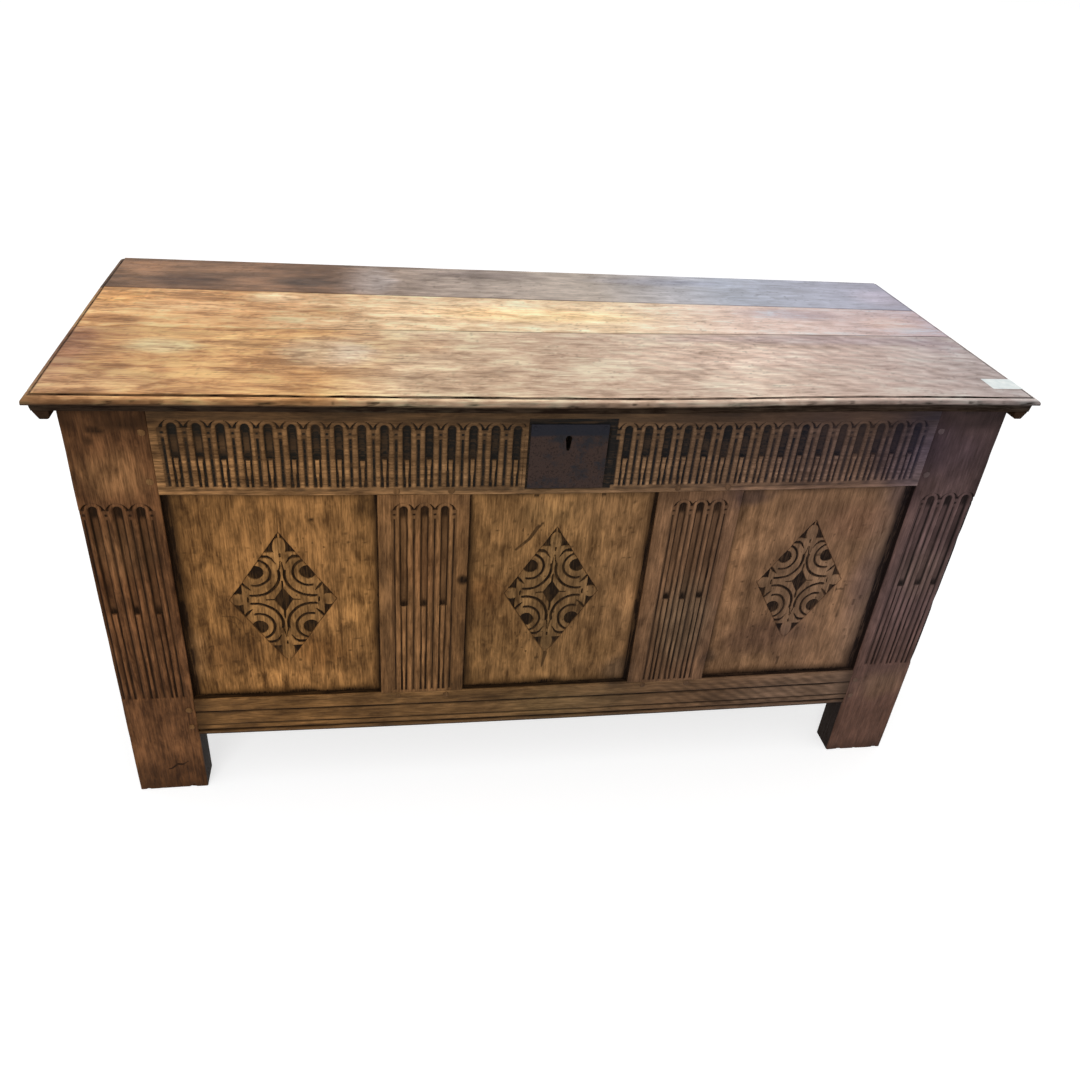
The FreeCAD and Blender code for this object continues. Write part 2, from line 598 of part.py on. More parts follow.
def hinge_strap():
    """The strap let into the lid's underside, tapering to a round end, with one knuckle."""
    z0, z1 = HINGE_Z, HINGE_Z + IRON
    neck, root = STRAP_KNUCKLE_HALF - KNUCKLE_GAP / 2, STRAP_HALF_ROOT
    neck_y, tip_y = HINGE_Y - STRAP_NECK_START, HINGE_Y - STRAP_LENGTH
    shoulder_y = HINGE_Y - STRAP_NECK
    end_y = tip_y + STRAP_HALF_TIP
    edges = [line((-neck, HINGE_Y, z0), (neck, HINGE_Y, z0)),
             line((neck, HINGE_Y, z0), (neck, neck_y, z0)),
             line((neck, neck_y, z0), (root, shoulder_y, z0)),
             line((root, shoulder_y, z0), (STRAP_HALF_TIP, end_y, z0)),
             arc((STRAP_HALF_TIP, end_y, z0), (0, tip_y, z0), (-STRAP_HALF_TIP, end_y, z0)),
             line((-STRAP_HALF_TIP, end_y, z0), (-root, shoulder_y, z0)),
             line((-root, shoulder_y, z0), (-neck, neck_y, z0)),
             line((-neck, neck_y, z0), (-neck, HINGE_Y, z0))]
    plate = outline_prism(edges, Vector(0, 0, z1 - z0))
    bore = barrel(BARREL_HALF, PIN_RADIUS + PIN_CLEARANCE)
    return less(joined([plate] + knuckles(False)), [bore])


def hinge_pin():
    """The pin, a little longer than the barrel."""
    return barrel(BARREL_HALF + PIN_PROUD, PIN_RADIUS)


def at_hinges(shape):
    """A shape drawn about x = 0, once at each hinge."""
    return [shape.translated(Vector(side * HINGE_X, 0, 0)) for side in (-1, 1)]


# ---- lid ----------------------------------------------------------------------------------
def edge_waste(setback_top, setback_bottom, point, sweep):
    """Waste outside the lid's edge moulding: point(inset, height) gives a place in its plane."""
    out, top = -1.0, LID_THICKNESS
    shoulder = (QUIRK, top - QUIRK_DROP)
    edges = [line(point(out, -1), point(out, top + 1)),
             line(point(out, top + 1), point(QUIRK, top + 1)),
             line(point(QUIRK, top + 1), point(*shoulder)),
             arc(point(*shoulder), point(NOSE_CURVE[0], top - NOSE_CURVE[1]), point(0, NOSE_TOP)),
             line(point(0, NOSE_TOP), point(0, NOSE_BOTTOM)),
             line(point(0, NOSE_BOTTOM), point(setback_top, NOSE_BOTTOM)),
             line(point(setback_top, NOSE_BOTTOM), point(setback_bottom, -1)),
             line(point(setback_bottom, -1), point(out, -1))]
    return outline_prism(edges, sweep)


def lid_waste():
    """The moulding's waste along the lid's front and both ends, which mitres it."""
    reach = LID_DEPTH + 4
    front = edge_waste(FRONT_SETBACK, FRONT_SETBACK,
                       lambda s, h: (-LID_HALF - 2, LID_FRONT + s, CARCASE_TOP + h),
                       Vector(LID_LENGTH + 4, 0, 0))
    end = edge_waste(END_SETBACK_TOP, END_SETBACK_BOTTOM,
                     lambda s, h: (LID_HALF - s, LID_FRONT - 2, CARCASE_TOP + h),
                     Vector(0, reach, 0))
    return [front, end, mirrored(end)]


def lid_board(front, back, tongue):
    """One lid board: front and back are its edge's y at the left and right ends."""
    z0, z1 = CARCASE_TOP, HEIGHT
    board = prism([(-LID_HALF, front[0], z0), (LID_HALF, front[1], z0),
                   (LID_HALF, back[1], z0), (-LID_HALF, back[0], z0)], Vector(0, 0, z1 - z0))
    if tongue:
        board = joined([board, lid_tongue(back)])
    return board


def lid_tongue(edge):
    """The tongue on a board's back edge, and the groove for it in the next board."""
    z0 = CARCASE_TOP + LID_THICKNESS / 2 - TONGUE / 2
    return prism([(-LID_HALF, edge[0], z0), (LID_HALF, edge[1], z0),
                  (LID_HALF, edge[1] + TONGUE, z0), (-LID_HALF, edge[0] + TONGUE, z0)],
                 Vector(0, 0, TONGUE))


def lid_boards():
    """Front, middle and back board with their edge mouldings and hinge recesses."""
    first = (FIRST_JOINT_LEFT, FIRST_JOINT_RIGHT)
    second = (SECOND_JOINT_LEFT, SECOND_JOINT_RIGHT)
    front = lid_board((LID_FRONT, LID_FRONT), first, True)
    middle = lid_board(first, second, True).cut(lid_tongue(first))
    back = lid_board(second, (LID_BACK, LID_BACK - LID_TAPER), False).cut(lid_tongue(second))
    room = at_hinges(barrel(BARREL_HALF + BARREL_END_ROOM, BARREL_RADIUS + BARREL_ROOM))
    recesses = at_hinges(hinge_strap()) + room + [staple_plate()]
    return [less(board, lid_waste() + recesses) for board in (front, middle, back)]


def cleat():
    """The batten under the lid's right-hand end, sloped outside, just clear of the carcase."""
    inner = HALF_WIDTH + CLEAT_GAP
    top_out = LID_HALF - END_SETBACK_BOTTOM
    low = CARCASE_TOP - CLEAT_DEPTH
    chamfer = CLEAT_CHAMFER
    y0 = CLEAT_FRONT
    return prism([(inner, y0, CARCASE_TOP), (top_out, y0, CARCASE_TOP), (CLEAT_BOTTOM_OUT, y0, low),
                  (inner + chamfer, y0, low), (inner, y0, low + chamfer)],
                 Vector(0, CLEAT_BACK - CLEAT_FRONT, 0))


def staple_plate():
    """The staple's plate, let into the lid's underside."""
    half, margin = STAPLE_PLATE_HALF, STAPLE_PLATE_MARGIN
    return box(STAPLE_X - half, STAPLE_X + half, FRONT_Y + STAPLE_FRONT - margin,
               FRONT_Y + STAPLE_BACK + margin, CARCASE_TOP, CARCASE_TOP + IRON)


def lid_staple():
    """The plate with the loop that drops into the lock for the bolt to pass."""
    loop = box(STAPLE_X - STAPLE_HALF, STAPLE_X + STAPLE_HALF, FRONT_Y + STAPLE_FRONT,
               FRONT_Y + STAPLE_BACK, STAPLE_BOTTOM, CARCASE_TOP)
    window = box(STAPLE_X - STAPLE_HALF, STAPLE_X + STAPLE_HALF,
                 FRONT_Y + STAPLE_FRONT + STAPLE_LEG, FRONT_Y + STAPLE_BACK - STAPLE_LEG,
                 STAPLE_WINDOW_BOTTOM, STAPLE_WINDOW_TOP)
    return joined([staple_plate(), loop.cut(window)])


# ---- assembly -----------------------------------------------------------------------------
def carcase():
    """Every piece of the carcase, by name."""
    left_x, right_x = -HALF_WIDTH, HALF_WIDTH - STILE_WIDTH
    leaves = at_hinges(hinge_leaf())
    rooms = at_hinges(barrel(BARREL_HALF + BARREL_END_ROOM, BARREL_RADIUS + BARREL_ROOM))
    pieces = {
        "front_left_stile": stile(left_x, FRONT_Y, ((FRONT, -1), (LEFT, 1))),
        "front_right_stile": stile(right_x, FRONT_Y, ((FRONT, 1), (RIGHT, -1))),
        "back_left_stile": stile(left_x, BACK_STILE_FRONT, ((BACK, 1), (LEFT, -1))),
        "back_right_stile": stile(right_x, BACK_STILE_FRONT, ((BACK, -1), (RIGHT, 1))),
    }
    till_side, till_bottom = till()
    till_boards = [till_side, till_bottom]

    bottom_rail = less(FRONT.bottom_rail(), rail_moulding() + [floor_groove(FRONT, FLOOR_IN_FRONT)])
    rails = {
        "front_top_rail": less(FRONT.placed(front_top_rail()), till_boards),
        "front_bottom_rail": FRONT.placed(bottom_rail),
        "back_top_rail": less(BACK.placed(BACK.top_rail()), till_boards + leaves + rooms),
        "back_bottom_rail": BACK.placed(BACK.bottom_rail()),
    }
    for name, frame in (("left", LEFT), ("right", RIGHT)):
        bottom = less(frame.bottom_rail(), [floor_groove(frame, FLOOR_IN_END)])
        rails[name + "_top_rail"] = less(frame.placed(frame.top_rail()), till_boards)
        rails[name + "_bottom_rail"] = frame.placed(bottom)
        rails[name + "_muntin"] = frame.placed(frame.muntin(0))
    # the back frame is turned round, so what is left in it is on the chest's right
    for name, back_name, x in (("left", "right", LEFT_MUNTIN_X), ("right", "left", RIGHT_MUNTIN_X)):
        rails["front_" + name + "_muntin"] = FRONT.placed(FRONT.muntin(x))
        rails["back_" + back_name + "_muntin"] = BACK.placed(BACK.muntin(x))

    pegs = {"front_pegs": FRONT, "back_pegs": BACK, "left_pegs": LEFT, "right_pegs": RIGHT}
    every_peg = [peg for frame in pegs.values() for peg in frame.pegs()]
    for name, rail in rails.items():
        pieces[name] = less(rail, every_peg)
    for name, frame in pegs.items():
        pieces[name] = Part.makeCompound(frame.pegs())

    panel_names = {FRONT: ("front_left_panel", "front_centre_panel", "front_right_panel"),
                   BACK: ("back_right_panel", "back_centre_panel", "back_left_panel"),
                   LEFT: ("left_back_panel", "left_front_panel"),
                   RIGHT: ("right_front_panel", "right_back_panel")}
    for frame, names in panel_names.items():
        for name, opening in zip(names, frame.openings()):
            pieces[name] = frame.placed(frame.panel(*opening))

    for index in range(FLOOR_BOARDS):
        pieces["floor_board_%d" % (index + 1)] = floor_board(index)
    pieces["till_side"] = till_side
    pieces["till_bottom"] = till_bottom
    pieces["left_hinge_leaf"], pieces["right_hinge_leaf"] = leaves
    pieces["hinge_pins"] = Part.makeCompound(at_hinges(hinge_pin()))
    for name, shape in (("lock_plate", lock_plate()), ("lock_back_plate", lock_back_plate()),
                        ("lock_case", lock_case()), ("bolt_spring", bolt_spring()),
                        ("drill_pin", drill_pin())):
        pieces[name] = FRONT.placed(shape)
    return pieces


def lid():
    """Every piece of the lid, by name."""
    names = ("lid_front_board", "lid_middle_board", "lid_back_board")
    pieces = dict(zip(names, lid_boards()))
    pieces["right_cleat"] = cleat()
    pieces["left_cleat"] = mirrored(cleat())
    pieces["left_hinge_strap"], pieces["right_hinge_strap"] = at_hinges(hinge_strap())
    pieces["lid_staple"] = lid_staple()
    return pieces


pieces = carcase()
pieces.update(lid())
pieces["lock_bolt"] = FRONT.placed(lock_bolt())

for name, shape in pieces.items():
    if not shape.isValid() or not shape.Solids:
        raise ValueError("%s is not a sound solid" % name)
    shape.exportStep("parts/%s.step" % name)
    print("%-22s %2d solid(s) %10.0f mm3" % (name, len(shape.Solids), shape.Volume))
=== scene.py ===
"""Looks of the joined oak coffer: carved front, worn moulded lid, plain ends and back, ironwork.

Shapes are worked out in millimetres in the CAD's frame (+X right, +Y back, +Z up) and turned into
metres when a mesh is made. A wooden piece is one closed board: a fine grid on its shown face,
whose depth is the carving, and plain edges and back. The old chest has settled on its left, so
every piece in front passes through settle() or, on the lid, settle_lid().
"""

import math

import bmesh
import bpy
import numpy as np
from mathutils import Matrix, Vector


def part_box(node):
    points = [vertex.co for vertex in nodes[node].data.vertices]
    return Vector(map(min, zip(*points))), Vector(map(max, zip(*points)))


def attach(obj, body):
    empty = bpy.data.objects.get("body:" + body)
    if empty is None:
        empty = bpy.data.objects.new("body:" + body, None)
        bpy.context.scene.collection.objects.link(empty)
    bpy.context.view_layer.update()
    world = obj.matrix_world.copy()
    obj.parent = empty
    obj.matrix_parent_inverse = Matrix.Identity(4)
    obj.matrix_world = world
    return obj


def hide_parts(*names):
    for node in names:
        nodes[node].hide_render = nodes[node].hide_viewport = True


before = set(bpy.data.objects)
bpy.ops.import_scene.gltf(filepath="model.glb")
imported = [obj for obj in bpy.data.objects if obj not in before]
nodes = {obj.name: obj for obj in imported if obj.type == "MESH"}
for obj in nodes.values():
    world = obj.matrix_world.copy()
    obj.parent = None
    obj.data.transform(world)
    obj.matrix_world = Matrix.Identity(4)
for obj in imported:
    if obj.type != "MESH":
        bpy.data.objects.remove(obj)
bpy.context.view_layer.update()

# ---- sizes shared with the CAD ------------------------------------------------------------
LID_TOP, LID_THICKNESS, LID_HALF = 644.0, 22.0, 611.0
LID_FRONT, LID_BACK_LEFT, LID_BACK_RIGHT = -241.5, 241.5, 231.0
FRONT_Y, BACK_Y = -217.5, 223.0
HALF_WIDTH, OPENING = 585.0, 491.0
STILE_WIDTH, STILE_DEPTH = 94.0, 42.0
LEFT_MUNTIN, RIGHT_MUNTIN, MUNTIN_HALF, END_MUNTIN_HALF = -177.0, 186.0, 58.0, 50.0
RAIL_LOW, RAIL_TOP, TOP_RAIL_LOW, CARCASE_TOP = 103.0, 173.0, 507.0, 622.0
PANEL_LOW, PANEL_HIGH = RAIL_TOP - 9, TOP_RAIL_LOW + 7
FRONT_PANELS = ((-OPENING - 1, -228.0), (-126.0, 135.0), (237.0, OPENING + 1))
FLOOR_TOP = 140.0
GROOVE_FRONT, GROOVE_BACK, GROOVE_DEPTH = 10.0, 19.0, 9.0
FRONT_RAIL, BACK_RAIL, FLOOR_BOARD, TILL_BOARD = 32.0, 28.0, 14.0, 12.0
END_HALF, END_CENTRE = 178.25, 2.75
HINGE_X, HINGE_Y, HINGE_Z = 400.0, 224.7, 622.0
AIR = 0.5                     # left above the floor and under the lid


# ---- numbers ------------------------------------------------------------------------------
CELLS = 256
LATTICE = np.random.RandomState(1640).rand(CELLS, CELLS)


def noise(u, v, seed):
    """Smooth noise from 0 to 1, its humps about one unit apart."""
    u, v = np.broadcast_arrays(np.asarray(u, float) + 17.31 * seed,
                               np.asarray(v, float) + 5.77 * seed)
    iu, iv = np.floor(u).astype(int), np.floor(v).astype(int)
    fu, fv = u - iu, v - iv
    fu, fv = fu * fu * (3 - 2 * fu), fv * fv * (3 - 2 * fv)

    def row(k):
        return (LATTICE[iu % CELLS, (iv + k) % CELLS] * (1 - fu)
                + LATTICE[(iu + 1) % CELLS, (iv + k) % CELLS] * fu)
    return row(0) * (1 - fv) + row(1) * fv


def noises(u, v, seed):
    """Noise over a face, as a function of its humps' length along u and v and of a number."""
    return lambda along, up, number=0: noise(u / along, v / up, seed + number)


def rough(u, v, seed, octaves=3):
    """Noise from -1 to 1 with finer and finer detail."""
    total, size = 0.0, 0.0
    for step in range(octaves):
        share = 0.5 ** step
        total = total + share * (2 * noise(u * 2 ** step, v * 2 ** step, seed + 3 * step) - 1)
        size += share
    return total / size


def ease(low, high, value):
    """0 below low, 1 above high, smooth between."""
    part = np.clip((value - low) / (high - low), 0, 1)
    return part * part * (3 - 2 * part)


def between(value, low, high, soft):
    """1 from low to high, falling to 0 within soft outside."""
    return ease(low - soft, low, value) * (1 - ease(high, high + soft, value))


def blob(u, v, cu, cv, ru, rv):
    """1 at a place, falling smoothly to 0 at an ellipse round it."""
    return 1 - ease(0.25, 1, np.hypot((u - cu) / ru, (v - cv) / rv))


def stroke(a, b, *points):
    """How far inside a tapering stroke each place lies; points are (a, b, half width)."""
    inside = np.full(np.shape(a), -99.0)
    for (a0, b0, w0), (a1, b1, w1) in zip(points, points[1:]):
        da, db = a1 - a0, b1 - b0
        part = np.clip(((a - a0) * da + (b - b0) * db) / (da * da + db * db), 0, 1)
        gap = np.hypot(a - a0 - part * da, b - b0 - part * db)
        inside = np.maximum(inside, w0 + (w1 - w0) * part - gap)
    return inside


def drift(at, *knots):
    """Colour multipliers along a coordinate; knots are (place, red, green, blue)."""
    knots = np.array(knots)
    return np.stack([np.interp(at, knots[:, 0], knots[:, k]) for k in (1, 2, 3)], -1)


def stained(colour, a, b, stains, wander, share):
    """Colour multipliers with stains laid over them, their outlines moved about by wander.

    stains are (a, b, half width, half height, red, green, blue).
    """
    for ca, cb, ra, rb, *shift in stains:
        part = blob(a + wander, b + share * wander, ca, cb, ra, rb)
        colour = colour * (1 + part[:, None] * (np.array(shift) - 1))
    return colour


def lines(start, end, step, *fine):
    """Grid lines from start to end, closer in each fine stretch (low, high, step)."""
    ends = [min(max(c, start), end) for low, high, _ in fine for c in (low, high)]
    cuts = sorted({start, end, *ends})
    spots = [start]
    for low, high in zip(cuts, cuts[1:]):
        middle = (low + high) / 2
        small = min([step] + [s for a, b, s in fine if a <= middle <= b])
        count = max(1, int(round((high - low) / small)))
        spots.extend(low + (high - low) * (i + 1) / count for i in range(count))
    return np.array(spots)


def arris_lines(start, end, step, radius, *fine):
    """Grid lines with extra ones close to both ends, where the arris is rounded."""
    near = radius * np.array([0.0, 0.12, 0.35, 0.7, 1.0])
    inner = lines(start + radius, end - radius, step, *fine)
    return np.concatenate([start + near[:-1], inner, end - near[:-1][::-1]])


def settle(places):
    """The chest's old sag: the left front has sunk, more and more towards its top."""
    x, y, z = places.T
    rise = np.clip((z - RAIL_LOW) / 397, 0, 1)
    lean = np.maximum(0, 9.5 - 0.00427 * x - 2.0454e-5 * x * x)
    dip = 3.5 * np.maximum(0, 1 - (x / OPENING) ** 2)
    ahead = np.clip((120 - y) / 295, 0, 1)
    return np.stack([x, y, z - (dip * (1 - rise) + lean * rise) * ahead], -1)


def settle_lid(places):
    """The lid has followed the sag on its left; on its right the front edge is worn back."""
    x, y, z = places.T
    ahead = np.clip((120 - y) / 360, 0, 1)
    return np.stack([x, y + 3.0 * ease(80, LID_HALF, x) * ahead,
                     z - 5.2 * (1 - ease(40, 420, x)) * ahead], -1)


def settle_staple(places):
    """The staple hangs from the lid, and its eye is bent down to meet the bolt."""
    low = np.clip((LID_TOP - LID_THICKNESS - places[:, 2:]) / 10, 0, 1)
    return settle_lid(places) * (1 - low) + settle(places) * low


# ---- meshes -------------------------------------------------------------------------------
def link(name, data):
    """A new object in the scene."""
    made = bpy.data.objects.new(name, data)
    bpy.context.scene.collection.objects.link(made)
    return made


def make_object(name, places, faces, material, aging_and_shading=(0.3, 0.0, 0.5), tint=(1.0, 1.0, 1.0),
                smooth_angle=50):
    """An object from places in millimetres; aging_and_shading is grime with painted shade, wear
    with painted highlight, and tone at each of them.
    """
    mesh = bpy.data.meshes.new(name)
    mesh.from_pydata((places / 1000).tolist(), [], faces)
    for layer_name, values in (("aging_and_shading", aging_and_shading), ("tint", tint)):
        layer = mesh.color_attributes.new(name=layer_name, type="FLOAT_COLOR", domain="POINT")
        values = np.broadcast_to(np.asarray(values, float), (len(places), 3))
        values = np.c_[values, np.ones(len(places))]
        layer.data.foreach_set("color", values.astype(np.float32).ravel())
    mesh.polygons.foreach_set("use_smooth", np.ones(len(mesh.polygons), bool))
    mesh.set_sharp_from_angle(angle=math.radians(smooth_angle))
    mesh.materials.append(material)
    return link(name, mesh)


def rim(columns, rows):
    """Indices round the border of a grid, anticlockwise, as four sides that share corners."""
    grid = np.arange(columns * rows).reshape(columns, rows)
    return [grid[:, 0], grid[-1, :], grid[::-1, -1], grid[0, ::-1]]


def grid_faces(first, columns, rows, order):
    """The quads of a grid of points; order lists each quad's corners."""
    i, j = np.meshgrid(np.arange(columns - 1), np.arange(rows - 1), indexing="ij")
    corner = first + (i * rows + j).ravel()
    return np.c_[corner, corner + rows, corner + rows + 1, corner + 1][:, order].tolist()


def stitch(faces, fine, fine_at, coarse, coarse_at):
    """Triangles between two rows of points: coarse lies behind fine."""
    i, j = 0, 0
    while i < len(fine) - 1 or j < len(coarse) - 1:
        more_fine = i < len(fine) - 1
        if more_fine and (j == len(coarse) - 1 or fine_at[i + 1] <= coarse_at[j + 1] + 1e-9):
            faces.append((fine[i], coarse[j], fine[i + 1]))
            i += 1
        else:
            faces.append((fine[i], coarse[j], coarse[j + 1]))
            j += 1


def board(name, us, vs, depth, stages, place, paint, material, tint, sag):
    """A closed board.

    us and vs are the grid lines of its face, and depth(u, v) how far the face lies in. stages
    lists the rings behind the face as (depth, left, right, low, high), the last four being how
    far each edge lies in there. place(u, v, w) gives x, y, z; paint(u, v, w, face) the aging
    with its painted shade and highlights, where face is false behind the face; and
    tint(x, y, z) the colour multipliers.
    """
    u, v = np.meshgrid(us, vs, indexing="ij")
    columns, rows = u.shape
    u0, v0, width, height = us[0], vs[0], us[-1] - us[0], vs[-1] - vs[0]
    faces = grid_faces(0, columns, rows, (0, 1, 2, 3))
    across, up = [np.linspace(0, 1, max(2, int(size / RING_SPACING) + 2))
                  for size in (width, height)]
    points = [(u.ravel(), v.ravel(), depth(u, v).ravel())]
    count = columns * rows
    previous = rim(columns, rows)
    for level, (deep, left, right, low, high) in enumerate(stages):
        lu = u0 + left + across * (us[-1] - right - u0 - left)
        lv = v0 + low + up * (vs[-1] - high - v0 - low)
        new_u, new_v = [part.ravel() for part in np.meshgrid(lu, lv, indexing="ij")]
        ring = [side + count for side in rim(len(lu), len(lv))]
        if level < len(stages) - 1:
            loop = np.concatenate([side[:-1] for side in ring]) - count
            starts = np.cumsum([0] + [len(side) - 1 for side in ring])
            ring = [count + np.arange(a, b + 1) % len(loop) for a, b in zip(starts, starts[1:])]
            new_u, new_v = new_u[loop], new_v[loop]
        if level == 0:
            at = [(us - u0) / width, (vs - v0) / height, (us[-1] - us[::-1]) / width,
                  (vs[-1] - vs[::-1]) / height]
            for side, coarse_at in enumerate((across, up, across, up)):
                stitch(faces, previous[side].tolist(), at[side], ring[side].tolist(), coarse_at)
        else:
            for old, new in zip(previous, ring):
                faces.extend(np.c_[old[:-1], new[:-1], new[1:], old[1:]].tolist())
        points.append((new_u, new_v, np.full(len(new_u), float(deep))))
        count += len(new_u)
        previous = ring
    faces.extend(grid_faces(count - len(new_u), len(lu), len(lv), (0, 3, 2, 1)))

    u, v, w = [np.concatenate(part) for part in zip(*points)]
    x, y, z = place(u, v, w)
    face = np.arange(len(u)) < columns * rows
    grime_and_shade, wear_and_highlight, tone = paint(u, v, w, face)
    aging_and_shading = np.clip(np.stack([grime_and_shade, wear_and_highlight * face, np.broadcast_to(tone, u.shape)], -1), 0, 1)
    return make_object(name, sag(np.stack([x, y, z], -1)), faces, MATERIALS[material], aging_and_shading,
                       tint(x, y, z) if tint else (1, 1, 1))


RING_SPACING = 36.0           # of the points on a board's edges and back


def arris(u, v, us, vs, radius, seed, sides="lrbt"):
    """How far a rounded, unevenly worn arris falls away, over a face with these grid lines."""
    fall = np.zeros_like(u)
    gaps = {"l": u - us[0], "r": us[-1] - u, "b": v - vs[0], "t": vs[-1] - v}
    for index, side in enumerate(sides):
        along = v if side in "lr" else u
        worn = radius * (0.55 + 0.9 * noise(along / 23, index, seed) ** 2)
        part = np.clip(1 - gaps[side] / worn, 0, 1)
        fall = np.hypot(fall, worn * (1 - np.sqrt(np.clip(1 - part * part, 0, 1))))
    return fall


def edge_nearness(u, v, us, vs, reach):
    """1 at the face's border, 0 at reach from it."""
    gap = np.minimum(np.minimum(u - us[0], us[-1] - u), np.minimum(v - vs[0], vs[-1] - v))
    return 1 - ease(0, reach, gap)


# ---- colours and materials ----------------------------------------------------------------
def srgb(red, green, blue):
    """A colour as it should show, 0 to 255, in the numbers that a shader wants."""
    linear = [(c / 255 / 12.92) if c <= 10 else ((c / 255 + 0.055) / 1.055) ** 2.4
              for c in (red, green, blue)]
    return (*linear, 1.0)


class Look:
    """The nodes of a material or of the world, which end in its surface node."""

    def __init__(self, owner, surface="Principled BSDF"):
        owner.use_nodes = True
        self.owner, self.tree = owner, owner.node_tree
        self.surface = self.tree.nodes[surface]
        self.places = self.add("ShaderNodeTexCoord").outputs["Object"]

    def add(self, kind, inputs=None, **settings):
        made = self.tree.nodes.new(kind)
        for key, value in settings.items():
            setattr(made, key, value)
        for key, value in (inputs or {}).items():
            self.feed(made.inputs[key], value)
        return made

    def feed(self, socket, value):
        if isinstance(value, bpy.types.NodeSocket):
            self.tree.links.new(value, socket)
        else:
            socket.default_value = value

    def math(self, operation, first, second=0.0, third=0.0, clamp=False):
        return self.add("ShaderNodeMath", {0: first, 1: second, 2: third}, operation=operation,
                        use_clamp=clamp).outputs[0]

    def times(self, first, second):
        return self.math("MULTIPLY", first, second)

    def times_plus(self, first, second, third, clamp=False):
        return self.math("MULTIPLY_ADD", first, second, third, clamp)

    def stretched(self, scale, shift=(0, 0, 0)):
        return self.add("ShaderNodeMapping", {"Vector": self.places, "Location": shift,
                                              "Scale": scale}).outputs[0]

    def noise(self, vector, scale, detail=3.0, rough=0.55, distortion=0.0, low=0.32, high=0.68):
        """Noise spread out so that it fills 0 to 1."""
        made = self.add("ShaderNodeTexNoise", {"Vector": vector, "Scale": scale, "Detail": detail,
                                               "Roughness": rough, "Distortion": distortion})
        return self.steps(made.outputs["Fac"], low, high)

    def steps(self, value, low, high, to_low=0.0, to_high=1.0):
        return self.add("ShaderNodeMapRange", {"Value": value, "From Min": low, "From Max": high,
                                               "To Min": to_low, "To Max": to_high}).outputs[0]

    def ramp(self, value, stops):
        made = self.add("ShaderNodeValToRGB", {"Fac": value})
        while len(made.color_ramp.elements) < len(stops):
            made.color_ramp.elements.new(0.5)
        for element, (position, colour) in zip(made.color_ramp.elements, stops):
            element.position = position
            element.color = colour
        return made.outputs["Color"]

    def mix(self, part, first, second, blend="MIX"):
        return self.add("ShaderNodeMix", {0: part, 6: first, 7: second}, data_type="RGBA",
                        blend_type=blend).outputs[2]

    def layer(self, name):
        return self.add("ShaderNodeVertexColor", layer_name=name).outputs["Color"]

    def along(self, axis):
        return self.add("ShaderNodeSeparateXYZ", {0: self.places}).outputs["xyz".index(axis)]

    def bump(self, height, strength, distance):
        return self.add("ShaderNodeBump", {"Height": height, "Strength": strength,
                                           "Distance": distance}).outputs[0]

    def seen_directly(self):
        """1 for rays that show a thing itself or its mirror image."""
        path = self.add("ShaderNodeLightPath").outputs
        found = self.math("MAXIMUM", path["Is Camera Ray"], path["Is Glossy Ray"])
        return self.math("MAXIMUM", found, path["Is Transmission Ray"])

    def set(self, **inputs):
        for key, value in inputs.items():
            self.feed(self.surface.inputs[key.replace("_", " ")], value)


def new_look(name):
    return Look(bpy.data.materials.new(name))


# the colour of grime and of painted shade
GRIME_AND_SHADE = (34, 21, 10)


